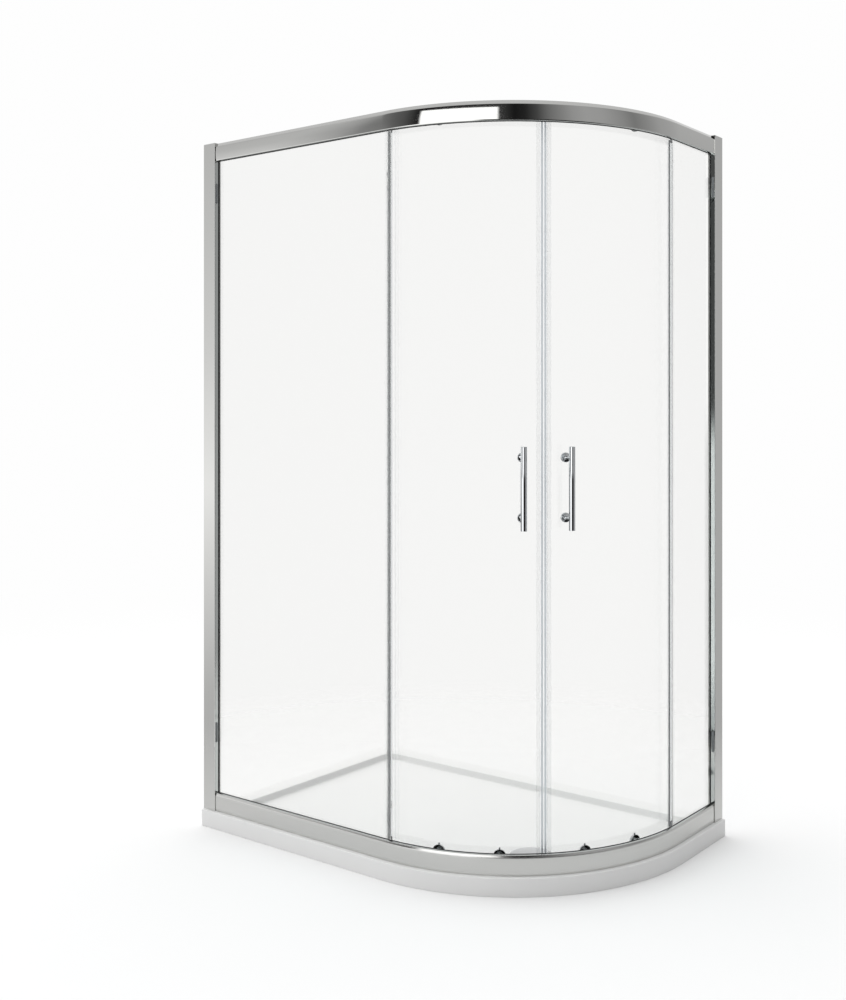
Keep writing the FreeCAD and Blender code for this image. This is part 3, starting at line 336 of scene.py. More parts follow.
# ------------------------------------------------------------------------------------------ posts
# Each side starts in a wall profile, an extruded channel that is screwed to the wall, and a jamb that
# slides in it. Both are bright-plated aluminium: polished, with faint die lines along their length.
# Black gaskets grip the pane, caps close the tops, and small covers hide the adjusting screws.
bright_tint = "D3D3D1"


def bright_aluminium(tree, way, smooth=0.03, dull=0.08):
    """Bright-plated extrusion: die lines 1.2 mm apart and 400 mm long blur the mirror along one way, between
    its smoothest and its dullest."""
    lines = add(tree, "TexNoise", {"Vector": way, "Scale": 1.0, "Detail": 3.0, "Roughness": 0.55})
    rough = add(tree, "MapRange", {"Value": lines.outputs["Fac"], "From Min": 0.3, "From Max": 0.7,
                                   "To Min": smooth, "To Max": dull})
    bump = add(tree, "Bump", {"Height": lines.outputs["Fac"], "Strength": 0.06, "Distance": 0.00005})
    return add(tree, "BsdfPrincipled", {"Base Color": linear(bright_tint), "Metallic": 1.0,
                                        "Roughness": rough.outputs[0], "Normal": bump.outputs[0]}).outputs[0]


def upright_aluminium(tree):
    """The extrusion with its die lines upright."""
    place = add(tree, "TexCoord").outputs["Object"]
    way = add(tree, "Mapping", {"Vector": place, "Scale": (1 / 0.0012, 1 / 0.0012, 1 / 0.4)})
    return bright_aluminium(tree, way.outputs[0])


def turned_steel(tree):
    """Stainless screws and axles: turned, satin, with fine streaks drawn at 0.5 mm."""
    place = add(tree, "TexCoord").outputs["Object"]
    streaks = add(tree, "TexNoise", {"Vector": place, "Scale": 1 / 0.0005, "Detail": 3.0})
    rough = add(tree, "MapRange", {"Value": streaks.outputs["Fac"], "To Min": 0.18, "To Max": 0.38})
    return add(tree, "BsdfPrincipled", {"Base Color": linear("C4C5C6"), "Metallic": 1.0,
                                        "Roughness": rough.outputs[0]}).outputs[0]


def cover_moulding(tree):
    """Covers moulded in grey plastic, satin."""
    place = add(tree, "TexCoord").outputs["Object"]
    spark = add(tree, "TexNoise", {"Vector": place, "Scale": 1 / 0.0008, "Detail": 2.0})
    rough = add(tree, "MapRange", {"Value": spark.outputs["Fac"], "To Min": 0.3, "To Max": 0.5})
    return add(tree, "BsdfPrincipled", {"Base Color": linear("77797B"), "Roughness": rough.outputs[0],
                                        "IOR": 1.49}).outputs[0]


post_aluminium = material("bright_aluminium_upright", upright_aluminium)
steel = material("turned_steel", turned_steel)
cover_plastic = material("cover_moulding", cover_moulding)
dress(post_aluminium, *(f"{kind}_{side}" for kind in ("wall_profile", "jamb") for side in sides), "profile_caps")
dress(rubber, "jamb_gaskets", "rail_gaskets", "header_stops")
dress(steel, "frame_screws")
dress(cover_plastic, "adjuster_covers")
dress(grey_plastic, "setting_blocks")

# ------------------------------------------------------------------------------------------ rails
# Header and sill are two extrusions of the same bright aluminium, bent to the quarter round. Each has a
# faintly bowed outer face with a shoulder along its top, a channel for the panes with a rib for the end
# screws, a web and a track for the rollers. They are butted against the jambs.
rail_radius = tray_radius - 12.0
rail_inner = rail_radius - 41.0
lip_radius, wall_radius = rail_radius - 10.2, rail_radius - 2.0
web_outer, web_inner, track_inner = rail_radius - 16.8, rail_radius - 18.4, rail_radius - 26.0
rib_centre, rib_radius = rail_radius - 13.5, 2.9
rail_start_x = np.array(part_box("header_rail")[0])[0] / mm
rail_end_y = np.array(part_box("header_rail")[1])[1] / mm
sill_low, sill_high = (corner[2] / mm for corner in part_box("sill_rail"))
header_low, header_high = (corner[2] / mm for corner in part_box("header_rail"))
sill_track, header_track = sill_low + 27.0, header_high - 40.0


def rail_aluminium(tree, smooth=0.03, dull=0.08):
    """The extrusion with its die lines along the rail, read from the way along and around its skin."""
    skin = add(tree, "Attribute", attribute_name="skin")
    way = add(tree, "Mapping", {"Vector": skin.outputs["Vector"], "Scale": (1 / 0.4, 1 / 0.0012, 1.0)})
    return bright_aluminium(tree, way.outputs[0], smooth, dull)


def worn_aluminium(tree):
    """The same finish where water and feet have taken the edge off its mirror."""
    return rail_aluminium(tree, 0.14, 0.22)


def bowed(start, end, bulge, steps=10):
    """Curved stretch of a section: the chord from one point to another, pushed out by a parabola."""
    share = np.linspace(0, 1, steps + 1)[:, None]
    chord = (1 - share) * np.array(start) + share * np.array(end)
    return chord + 4 * share * (1 - share) * np.array(bulge)


def along_rail(section):
    """Carries a closed (radius, height) section along the long straight, round the quarter and along the
    short straight. A point lies at the path's centre plus its radius times the outward direction."""
    straight = np.linspace(rail_start_x, arc_x, 7)[:-1]
    turned = np.radians(np.linspace(-90, 0, 91))
    rest = np.linspace(arc_y, rail_end_y, 4)[1:]
    centres = np.vstack([np.column_stack([straight, np.full(len(straight), arc_y)]),
                         np.tile((arc_x, arc_y), (len(turned), 1)),
                         np.column_stack([np.full(len(rest), arc_x), rest])])
    outward = np.vstack([np.tile((0.0, -1.0), (len(straight), 1)),
                         np.column_stack([np.cos(turned), np.sin(turned)]), np.tile((1.0, 0.0), (len(rest), 1))])
    radius, height = np.array(section).T
    flat = centres[:, None] + radius[None, :, None] * outward[:, None]
    return grid(np.dstack([flat, np.tile(height, (len(flat), 1))]))


sill_band, sill_lean, foot = sill_high - 10.0, 1.5, 1.4
sill_wall = wall_radius - sill_lean / 2
sill_section = np.vstack([
    [(rail_inner, sill_low), (rail_radius - 1.2, sill_low), (rail_radius - 1.2, sill_low + foot),
     (rail_radius - 0.6, sill_low + foot), (rail_radius - 0.2, sill_low + foot + 0.2)],
    bowed((rail_radius, sill_low + foot + 0.6), (rail_radius, sill_band), (0.5, 0.0), 16),
    bowed((rail_radius, sill_band), (rail_radius - sill_lean, sill_high - 1.2), (0.37, 0.0), 8)[1:],
    bowed((rail_radius - sill_lean, sill_high - 1.2), (rail_radius - sill_lean - 0.6, sill_high), (0.15, 0.2),
          4)[1:],
    [(lip_radius, sill_high), (lip_radius, sill_high - 4), (sill_wall, sill_band), (sill_wall, sill_low + 2.5)],
    arc((rib_centre, sill_low + 5.0), rib_radius, -59.5, 239.5, 20),
    [(web_outer, sill_low + 2.5), (web_outer, sill_track + 6.6), (web_outer - 0.4, sill_track + 7),
     (web_inner + 0.4, sill_track + 7), (web_inner, sill_track + 6.6), (web_inner, sill_track),
     (track_inner + 0.4, sill_track), (track_inner, sill_track - 0.4), (track_inner, sill_track - 2),
     (web_inner, sill_track - 2), (web_inner, sill_low + 2.5), (rail_inner + 1.5, sill_low + 2.5),
     (rail_inner + 1.5, sill_low + 4.7), (rail_inner + 1.2, sill_low + 5), (rail_inner + 0.3, sill_low + 5),
     (rail_inner, sill_low + 4.7)]])
crease, shoulder_foot, roof_edge = header_high - 11.1, header_high - 8.7, rail_radius - 10.1
hanger_inner, hanger_outer = rib_centre - 0.8, rib_centre + 0.8
header_section = np.vstack([
    [(lip_radius, header_low), (rail_radius - 0.6, header_low), (rail_radius - 0.2, header_low + 0.2)],
    bowed((rail_radius, header_low + 0.6), (rail_radius, crease), (0.8, 0.0), 16),
    bowed((rail_radius, crease), (rail_radius - 1.6, shoulder_foot), (0.24, 0.0), 6)[1:],
    bowed((rail_radius - 1.6, shoulder_foot), (roof_edge, header_high), (0.1, 0.1), 6)[1:],
    [(rail_inner + 0.5, header_high), (rail_inner, header_high - 0.5), (rail_inner, header_high - 5),
     (rail_inner + 1.5, header_high - 5), (rail_inner + 1.5, header_high - 2.5), (web_inner, header_high - 2.5),
     (web_inner, header_track), (track_inner + 0.4, header_track), (track_inner, header_track - 0.4),
     (track_inner, header_track - 2), (web_outer, header_track - 2), (web_outer, header_high - 2.5),
     (hanger_inner, header_high - 2.5)],
    arc((rib_centre, header_high - 10.2), rib_radius, 106, 434, 20),
    [(hanger_outer, header_high - 2.5), (roof_edge, header_high - 2.5), (wall_radius, crease),
     (wall_radius, header_low + 7), (lip_radius, header_low + 4)]])
header_finish = material("bright_aluminium_along", rail_aluminium)
sill_finish = material("bright_aluminium_worn", worn_aluminium)
piece("sill_extrusion", [along_rail(sill_section)], sill_finish, "enclosure", ["sill_rail"])
piece("header_extrusion", [along_rail(header_section)], header_finish, "enclosure",
      ["header_rail"])

# ------------------------------------------------------------------------------------------ fixed panes
# Two flat panes of 5 mm toughened glass stand on setting blocks in the sill and run up into the header.
# Float glass is nearly colourless with a faint green edge, and toughening leaves a slight roller wave.


def safety_glass(tree):
    """Clear toughened glass. A roller wave of 300 mm bends the reflections. What isn't looked at through it, such
    as the light on the tray, passes as if it were a faint filter, as it does through a thin pane, and so
    does what has been turned inside a pane often enough to light up its edge."""
    place = add(tree, "TexCoord").outputs["Object"]
    wave = add(tree, "TexNoise", {"Vector": place, "Scale": 1 / 0.3, "Detail": 0.0})
    bump = add(tree, "Bump", {"Height": wave.outputs["Fac"], "Strength": 0.1, "Distance": 0.002})
    glass = add(tree, "BsdfPrincipled", {"Base Color": linear("F8F8F7"), "Roughness": 0.0, "IOR": 1.5,
                                         "Transmission Weight": 1.0, "Normal": bump.outputs[0]})
    passed = add(tree, "BsdfTransparent", {"Color": linear("F6F8F8")})
    path = add(tree, "LightPath")
    sharp = add(tree, "Math", {0: path.outputs["Is Camera Ray"], 1: path.outputs["Is Singular Ray"]},
                operation="MAXIMUM")
    early = add(tree, "Math", {0: path.outputs["Ray Depth"], 1: 4.5}, operation="LESS_THAN")
    bent = add(tree, "Math", {0: sharp.outputs[0], 1: early.outputs[0]}, operation="MULTIPLY")
    both = add(tree, "MixShader", {0: bent.outputs[0], 1: passed.outputs[0], 2: glass.outputs[0]})
    return both.outputs[0]


glass = material("safety_glass", safety_glass)
dress(glass, "fixed_pane_left", "fixed_pane_right", "door_glass_left", "door_glass_right")

# ------------------------------------------------------------------------------------------ edge seals
# Clear soft vinyl, extruded. A grip is pushed over each pane's free edge, its nose carries on round the
# bend, and a thin hook inside meets the door's seal. Each runs from sill to header.
pane_outer, pane_inner = rail_radius - 11.0, rail_radius - 16.0
pane_end = 20.0
film = 0.06  # left between the vinyl and the glass, so that neither face hides in the other


def clear_vinyl(tree):
    """Clear soft vinyl, faintly blue and cloudy, with draw lines along its length 0.8 mm apart. What lies
    behind it shows through the thin walls without bending."""
    place = add(tree, "TexCoord").outputs["Object"]
    way = add(tree, "Mapping", {"Vector": place, "Scale": (1 / 0.0008, 1 / 0.0008, 1 / 0.3)})
    lines = add(tree, "TexNoise", {"Vector": way.outputs[0], "Scale": 1.0, "Detail": 2.0})
    bump = add(tree, "Bump", {"Height": lines.outputs["Fac"], "Strength": 0.04, "Distance": 0.0001})
    return add(tree, "BsdfPrincipled", {"Base Color": linear("F4F7F9"), "Roughness": 0.2, "IOR": 1.5, "Alpha": 0.065,
                                        "Normal": bump.outputs[0]}).outputs[0]


def upright(outline, low, high, steps=2):
    """Closed (x, y) outline carried straight up."""
    levels = np.linspace(low, high, steps)
    return grid(np.dstack([np.tile(outline, (steps, 1, 1)), np.tile(levels[:, None], (1, len(outline)))]))


def past_tangent(outline):
    """(x, y) of a left-side outline drawn as (run past the tangent point, radius)."""
    along, radius = np.array(outline).T
    return np.column_stack([arc_x + along, arc_y - radius])


def handed(side, shells):
    """Left-hand shells as they are, or their mirror image across the upright plane through the arc's centre
    and the meeting line: about that centre, x takes minus y, and y takes minus x."""
    if side == "left":
        return shells
    across = arc_x + arc_y
    return [(np.column_stack([across - points[:, 1], across - points[:, 0], points[:, 2]]), faces, skin)
            for points, faces, skin in shells]


vinyl = material("clear_vinyl", clear_vinyl)
grip_outer, grip_inner = pane_outer + 1.2, pane_inner - 1.2
grip = soften([(pane_end - 12, grip_outer - 0.2), (pane_end - 11, grip_outer), (pane_end + 1.2, grip_outer),
               (pane_end + 1.2, grip_inner), (pane_end - 11, grip_inner), (pane_end - 12, grip_inner + 0.2),
               (pane_end - 12, pane_inner - film), (pane_end + film, pane_inner - film),
               (pane_end + film, pane_outer + film), (pane_end - 12, pane_outer + film)], 0.25, 2)
curl = np.linspace(0, 1, 9)
nose_outer = np.column_stack([pane_end + 24 * curl, grip_outer - 0.3 * curl - 2.1 * curl ** 2])
nose_inner = np.column_stack([pane_end + 24 * curl, grip_outer - 1.4 - 0.1 * curl - 2.1 * curl ** 2])[::-1]
hook = [(pane_end - 4, grip_inner + 0.2), (pane_end - 2.8, grip_inner + 0.2), (pane_end - 13, grip_inner - 8),
        (pane_end - 14, grip_inner - 8)]
rib_wall = [(pane_end + 10.8, grip_outer - 1.3), (pane_end + 12, grip_outer - 1.4), (pane_end + 12, pane_inner),
            (pane_end + 10.8, pane_inner)]
seal_low, seal_high = (corner[2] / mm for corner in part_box("edge_seal_left"))
for side in sides:
    profiles = (grip, np.vstack([nose_outer, nose_inner]), soften(hook, 0.3, 2), soften(rib_wall, 0.3, 2))
    shells = [upright(past_tangent(profile), seal_low, seal_high) for profile in profiles]
    piece(f"pane_edge_seal_{side}", handed(side, shells), vinyl, "enclosure", [f"edge_seal_{side}"])

# ------------------------------------------------------------------------------------------ doors
# Each door is one bent sheet of 5 mm toughened glass. On its leading edge a clear seal holds a magnetic
# strip that pulls the doors together, a fin on its trailing edge meets the pane's hook, and a drip seal
# hangs from its bottom edge.
door_outer, door_inner = rail_radius - 30.0, rail_radius - 35.0
meeting_angle = -45.0
seal_wall = 1.0
glass_lead = 9.0
glass_low, glass_high = (corner[2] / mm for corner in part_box("door_glass_left"))
door_end = math.degrees(8.0 / door_outer) + 45.0
trail = math.radians(door_end) * door_outer


def on_door(outline):
    """(x, y) of a left-door outline drawn as (run from the meeting line along the glass, radius): the run
    over the glass radius is an angle."""
    run, radius = np.array(outline).T
    turn = math.radians(meeting_angle) - run / door_outer
    return np.column_stack([arc_x + radius * np.cos(turn), arc_y + radius * np.sin(turn)])


def magnet_strip_finish(tree):
    """Magnet-filled vinyl strip in a pale grey skin, with specks drawn at 1 mm."""
    place = add(tree, "TexCoord").outputs["Object"]
    specks = add(tree, "TexNoise", {"Vector": place, "Scale": 1 / 0.001, "Detail": 2.0})
    tint = add(tree, "MixRGB", {"Fac": specks.outputs["Fac"], "Color1": linear("E2E8EC"),
                                "Color2": linear("EAEFF2")})
    return add(tree, "BsdfPrincipled", {"Base Color": tint.outputs[0], "Roughness": 0.55, "IOR": 1.49}).outputs[0]


magnet = material("magnet_strip", magnet_strip_finish)
over, under = door_outer + seal_wall, door_inner - seal_wall
near_out, near_in = door_outer + film, door_inner - film
lead_end = 18.5
lead_grip = soften([(glass_lead - 1.2, over), (lead_end, over), (lead_end, near_out),
                    (glass_lead - film, near_out), (glass_lead - film, near_in), (lead_end, near_in),
                    (lead_end, under), (glass_lead - 1.2, under)], 0.25, 2)
nose_ring = soften([(0.3, door_inner + 0.2), (0.3, door_outer - 0.2), (1.6, over), (8.2, over), (8.2, under),
                    (1.6, under)], [0.4, 0.4, 0.8, 0.3, 0.3, 0.8], 4)
trail_grip = soften([(trail - 12, over), (trail + 1.2, over), (trail + 1.2, under), (trail - 12, under),
                     (trail - 12, near_in), (trail + film, near_in), (trail + film, near_out),
                     (trail - 12, near_out)], 0.25, 2)
trail_tail = soften([(trail + 0.8, over - seal_wall), (trail + 0.8, over), (trail + 6.2, over),
                     (trail + 6.2, over - seal_wall)], 0.3, 2)
trail_fin = soften([(trail - 11, over - 0.2), (trail - 10, over - 0.2), (trail - 10.2, pane_inner - 4),
                    (trail - 10.8, pane_inner - 4)], 0.2, 2)
magnet_outline = [(1.7, door_inner + 0.7), (1.7, door_outer - 0.7), (6.4, door_outer - 0.7),
                  (6.4, door_inner + 0.7)]
drip_run = (glass_lead + 12.0, trail - 1.0)
drip_steps = 64
drip_section = [(over, glass_low - 1.5), (over, glass_low + 5), (near_out, glass_low + 5),
                (near_out, glass_low - film), (near_in, glass_low - film), (near_in, glass_low + 5),
                (under, glass_low + 5), (under, glass_low - 1.5),
                (door_outer - 1, glass_low - 1.5), (door_outer - 1, glass_low - 6), (door_outer, glass_low - 6),
                (door_outer, glass_low - 1.5)]


def along_door(section, start, end, steps):
    """Carries a closed (radius, height) section along the left door, from one run to another."""
    radius, height = np.array(section).T
    rows = [np.column_stack([on_door(np.column_stack([np.full(len(radius), run), radius])), height])
            for run in np.linspace(start, end, steps)]
    return grid(np.array(rows))


for side in sides:
    body = f"{side}_door"
    lead = [upright(on_door(profile), glass_low + 2, glass_high - 2) for profile in (lead_grip, nose_ring)]
    piece(f"meeting_seal_{side}", handed(side, lead), vinyl, body, [f"magnet_seal_{side}"])
    strip = [upright(on_door(soften(magnet_outline, 0.4, 2)), glass_low + 2.5, glass_high - 2.5)]
    piece(f"magnet_bar_{side}", handed(side, strip), magnet, body, [f"magnet_strip_{side}"])
    tail = [upright(on_door(profile), sill_track + 10, header_track - 5)
            for profile in (trail_grip, trail_tail, trail_fin)]
    piece(f"tail_seal_{side}", handed(side, tail), vinyl, body, [f"trailing_seal_{side}"])
    drip = [along_door(soften(drip_section, 0.2, 1), *drip_run, drip_steps)]
    piece(f"drip_seal_{side}", handed(side, drip), vinyl, body, [f"bottom_seal_{side}"])

# ------------------------------------------------------------------------------------------ rollers
# Each door hangs on two nylon wheels in the header and is guided by two in the sill. A wheel turns on a
# steel axle with an eccentric in the glass, and a plated cap or spring housing covers the axle inside.
# A button on each bottom housing frees the door's foot for cleaning.
wheel_radius, wheel_inner, wheel_outer = 9.0, rail_radius - 25.2, rail_radius - 22.0
axle_radius, hub_inner = 3.0, rail_radius - 42.0
places = {"leading": 12.1, "trailing": 29.3}
levels = {"bottom": sill_track + 0.3 + wheel_radius, "top": header_track + 0.3 + wheel_radius}
hub_radius = {("bottom", "leading"): 15.5, ("bottom", "trailing"): 15.5, ("top", "trailing"): 15.5,
              ("top", "leading"): 9.0}
button_radius, button_foot_radius, button_rise, button_hold = 1.9, 2.3, 4.0, 4.2


def black_nylon(tree):
    """Turned black nylon, waxy, with turning marks drawn at 0.7 mm."""
    place = add(tree, "TexCoord").outputs["Object"]
    marks = add(tree, "TexNoise", {"Vector": place, "Scale": 1 / 0.0007, "Detail": 2.0})
    rough = add(tree, "MapRange", {"Value": marks.outputs["Fac"], "To Min": 0.25, "To Max": 0.45})
    return add(tree, "BsdfPrincipled", {"Base Color": linear("17181A"), "Roughness": rough.outputs[0],
                                        "IOR": 1.53}).outputs[0]


def on_radius(profile, degrees, z, steps=48, hollow=False):
    """Turned shell about a radius of the left door, with its (radius, distance from the arc's centre)."""
    turn = math.radians(meeting_angle - degrees)
    return lathe(profile, (arc_x, arc_y, z), (math.cos(turn), math.sin(turn), 0), steps, hollow)


nylon = material("black_nylon", black_nylon)
bore, bearing, tread, dish = axle_radius + 0.08, axle_radius + 1.6, wheel_radius - 1.8, 0.5
wheel = soften([(bore, wheel_inner), (bearing, wheel_inner), (bearing + 0.2, wheel_inner + dish),
                (tread - 0.2, wheel_inner + dish), (tread, wheel_inner), (wheel_radius, wheel_inner),
                (wheel_radius, wheel_outer), (tread, wheel_outer), (tread - 0.2, wheel_outer - dish),
                (bearing + 0.2, wheel_outer - dish), (bearing, wheel_outer), (bore, wheel_outer)],
               [0, 0, 0, 0, 0, 0.6, 0.6, 0, 0, 0, 0, 0], 4)
axle = [(axle_radius, hub_inner + 2), (axle_radius, door_inner), (6.7, door_inner), (6.7, door_outer),
        (7.6, door_outer), (8.0, door_outer + 0.4), (8.0, wheel_inner - 0.6), (7.6, wheel_inner - 0.2),
        (axle_radius, wheel_inner - 0.2), (axle_radius, wheel_outer + 0.1), (4.2, wheel_outer + 0.1),
        (4.5, wheel_outer + 0.4), (4.2, wheel_outer + 0.7), (1.8, wheel_outer + 0.7), (1.6, wheel_outer + 0.3),
        (0.4, wheel_outer + 0.3)]


def hub(radius):
    """Cap from the glass to its rounded face: a turned groove and a shallow dish mark the face."""
    edge = arc((radius - 1.6, 1.6), 1.6, 0, -90, 6) + (0, hub_inner)
    face = [(radius - 3.3, hub_inner), (radius - 3.5, hub_inner + 0.5), (radius - 4.5, hub_inner + 0.5),
            (radius - 4.7, hub_inner), (2.4, hub_inner + 0.1), (2.2, hub_inner + 0.7), (0.4, hub_inner + 0.7)]
    return np.vstack([[(0.4, door_inner - 0.3), (radius, door_inner - 0.3)], edge, face])


def button_column(degrees):
    """Left-door button at rest: a foot inside its housing, a neck and a domed top."""
    turn = math.radians(meeting_angle - degrees)
    middle = (hub_inner + door_inner) / 2
    top = levels["bottom"] + hub_radius["bottom", "leading"]
    low, high = top - button_hold, top + button_rise
    dome_line = arc((button_radius - 0.9, high - 0.9), 0.9, 0, 80, 5)
    profile = np.vstack([[(button_foot_radius, low), (button_foot_radius, low + 2.0), (button_radius, low + 2.0)],
                         dome_line, [(0.3, high)]])
    return lathe(profile, (arc_x + middle * math.cos(turn), arc_y + middle * math.sin(turn), 0), (0, 0, 1), 24)


for side in sides:
    body = f"{side}_door"
    shafts, top_caps, housings = [], [], []
    for place, degrees in places.items():
        for level, z in levels.items():
            name = f"{level}_wheel_{side}_{place}"
            tyre = handed(side, [on_radius(wheel, degrees, z, 64, hollow=True)])
            piece(f"{name}_tyre", tyre, nylon, name, [name])
            shafts.append(on_radius(axle, degrees, z))
            caps = top_caps if level == "top" else housings
            caps.append(on_radius(hub(hub_radius[level, place]), degrees, z, 64))
        name = f"release_button_{side}_{place}"
        piece(f"{name}_top", handed(side, [button_column(degrees)]), grey_plastic, name, [name])
    piece(f"roller_shafts_{side}", handed(side, shafts), steel, body, [f"roller_axles_{side}"])
    piece(f"roller_caps_{side}", handed(side, top_caps), chrome, body, [f"top_roller_caps_{side}"])
    piece(f"spring_housings_{side}", handed(side, housings), chrome, body, [f"roller_housings_{side}"])
dress(steel, "release_springs_left", "release_springs_right")

# ------------------------------------------------------------------------------------------ handles
# A round bar on two posts, through-bolted with a round nut inside the door. All of it is brass, turned,
# polished and chromed. Clear washers keep the metal off the glass.
handle_degrees, bar_radius, bar_axis = 6.0, 7.5, door_outer + 50.0
washer = 0.8
bar_low, bar_high = (corner[2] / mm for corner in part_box("handle_bar_left"))
post_levels = [(bar_low + bar_high) / 2 + offset for offset in (-72.5, 72.5)]


def clear_washer(tree):
    """Clear moulded washers, slightly cloudy."""
    place = add(tree, "TexCoord").outputs["Object"]
    cloud = add(tree, "TexNoise", {"Vector": place, "Scale": 1 / 0.002, "Detail": 2.0})
    rough = add(tree, "MapRange", {"Value": cloud.outputs["Fac"], "To Min": 0.2, "To Max": 0.4})
    return add(tree, "BsdfPrincipled", {"Base Color": linear("E6EAEC"), "Roughness": rough.outputs[0], "IOR": 1.5,
                                        "Transmission Weight": 0.7}).outputs[0]


washer_clear = material("clear_washer", clear_washer)
rose_end = door_outer + washer + 5.0
rose_start, rose_radius, post_radius, post_end = door_outer + washer, 12.0, 4.0, bar_axis - bar_radius + 4.0
post = np.vstack([[(0.4, rose_start), (rose_radius - 0.3, rose_start), (rose_radius, rose_start + 0.3)],
                  arc((rose_radius - 1.5, rose_end - 1.5), 1.5, 0, 90, 6),
                  [(5.4, rose_end), (4.6, rose_end + 0.3), (4.1, rose_end + 1.2), (post_radius, rose_end + 2.4),
                   (post_radius, post_end), (0.4, post_end)]])
nut_face = door_inner - washer - 4.0
nut = np.vstack([[(0.4, rose_end - 1.5), (3.0, rose_end - 1.5), (3.0, door_inner - washer),
                  (9.0, door_inner - washer)],
                 arc((7.8, nut_face + 1.2), 1.2, 0, -90, 6),
                 [(3.6, nut_face), (3.4, nut_face + 0.8), (0.4, nut_face + 0.8)]])
bar_turn = math.radians(meeting_angle - handle_degrees)
bar_foot = (arc_x + bar_axis * math.cos(bar_turn), arc_y + bar_axis * math.sin(bar_turn), 0)
bar = np.vstack([[(0.5, bar_low)], arc((bar_radius - 1.0, bar_low + 1.0), 1.0, -90, 0, 6),
                 arc((bar_radius - 1.0, bar_high - 1.0), 1.0, 0, 90, 6), [(0.5, bar_high)]])
for side in sides:
    body = f"{side}_door"
    piece(f"pull_bar_{side}", handed(side, [lathe(bar, bar_foot, (0, 0, 1), 72)]), chrome, body,
          [f"handle_bar_{side}"])
    for kind, profile in (("posts", post), ("nuts", nut)):
        pair = [on_radius(profile, handle_degrees, z) for z in post_levels]
        piece(f"pull_{kind}_{side}", handed(side, pair), chrome, body, [f"handle_{kind}_{side}"])
dress(washer_clear, "handle_washers_left", "handle_washers_right")

# ------------------------------------------------------------------------------------------ studio
# A white sweep under a big soft light from above and the left. What the metal mirrors is a ring of light
# and dark screens, given as a brightness for each heading, and panes mirror an even grey.


def sweep_paint(tree):
    """Matt white paint, rolled, with a stipple drawn at 4 mm. Between 1 and 5 m out the sweep becomes as white
    as what stands behind it, and from 0.8 to 1.8 m out mirrors see the screens instead. The object itself is
    lit by a greyer sweep."""
    place = add(tree, "TexCoord").outputs["Object"]
    stipple = add(tree, "TexNoise", {"Vector": place, "Scale": 1 / 0.004, "Detail": 2.0})
    bump = add(tree, "Bump", {"Height": stipple.outputs["Fac"], "Strength": 0.05, "Distance": 0.0003})
    path = add(tree, "LightPath")
    mirrored = path.outputs["Is Glossy Ray"]
    looked_at = add(tree, "Math", {0: path.outputs["Is Camera Ray"], 1: path.outputs["Is Transmission Ray"]},
                    operation="MAXIMUM")
    tint = add(tree, "MixRGB", {"Fac": looked_at.outputs[0], "Color1": linear("DFDFDF"),
                                "Color2": linear("F4F4F4")})
    paint = add(tree, "BsdfPrincipled", {"Base Color": tint.outputs[0], "Roughness": 0.9,
                                         "Specular IOR Level": 0.1, "Normal": bump.outputs[0]})
    lamp = add(tree, "Emission", {"Color": (*sweep_white, 1.0), "Strength": 1.0})
    clear = add(tree, "BsdfTransparent")
    beyond = add(tree, "MixShader", {0: mirrored, 1: lamp.outputs[0], 2: clear.outputs[0]})
    out = add(tree, "VectorMath", {0: place}, operation="LENGTH")
    fade = add(tree, "MapRange", {"Value": out.outputs["Value"], "From Min": 1.0, "From Max": 5.0},
               interpolation_type="SMOOTHERSTEP")
    soon = add(tree, "MapRange", {"Value": out.outputs["Value"], "From Min": 0.8, "From Max": 1.8})
    share = add(tree, "MixRGB", {"Fac": mirrored, "Color1": fade.outputs[0], "Color2": soon.outputs[0]})
    both = add(tree, "MixShader", {0: share.outputs[0], 1: paint.outputs[0], 2: beyond.outputs[0]})
    return both.outputs[0]


sweep_white = (0.99, 0.99, 0.99)
floor_reach = 60.0
floor_mesh = bpy.data.meshes.new("studio_floor")
floor_mesh.from_pydata([(-floor_reach, -floor_reach, 0), (floor_reach, -floor_reach, 0),
                        (floor_reach, floor_reach, 0), (-floor_reach, floor_reach, 0)], [], [(0, 1, 2, 3)])
floor_mesh.materials.append(material("sweep_paint", sweep_paint))
studio_floor = bpy.data.objects.new("studio_floor", floor_mesh)
bpy.context.scene.collection.objects.link(studio_floor)

# Headings in degrees from +X towards +Y, with the grey that bright metal shows there
screens = [(-180, 0.75), (-140, 0.65), (-137.6, 0.68), (-135, 0.67), (-132.6, 0.51), (-131.2, 0.33),
           (-130.5, 0.236), (-122, 0.148), (-115, 0.107), (-107, 0.023), (-105, 0.015), (-57, 0.048),
           (-51, 0.012), (-44.5, 0.024), (-38, 0.08), (-31, 0.218), (-24, 0.317), (-18, 0.41), (-10, 0.47),
           (0, 0.455), (5, 0.42), (14, 0.35), (22, 0.264), (32, 0.35), (42, 0.455), (54, 0.5), (65, 0.56),
           (85, 0.62), (110, 0.82), (150, 0.88), (180, 0.75)]
# The same below the horizon, where the screens are nearer and darker
low_screens = [(-180, 0.12), (-160, 0.12), (-148, 0.66), (-125, 0.66), (-112, 1.5), (-75, 1.6), (-68, 0.02),
               (-8, 0.02), (5, 0.3), (40, 0.5), (65, 0.56), (110, 0.6), (132, 0.3), (150, 0.12), (180, 0.12)]
# A bright panel between two headings, up to a height, and how the wide light at the left changes with
# height: each number is 180 times the upward part of the direction
panel_headings = [(-180, 0), (-104.5, 0), (-104.2, 1), (-59.5, 1), (-59.2, 0), (180, 0)]
panel_grey, ceiling_grey, pane_grey, edge_grey = 1.7, 0.7, 0.45, 0.85
left_light = [(-180, 0.97), (-40, 0.97), (-24, 1.4), (-11, 1.8), (9, 1.35), (40, 1.0), (70, 0.93), (180, 0.93)]


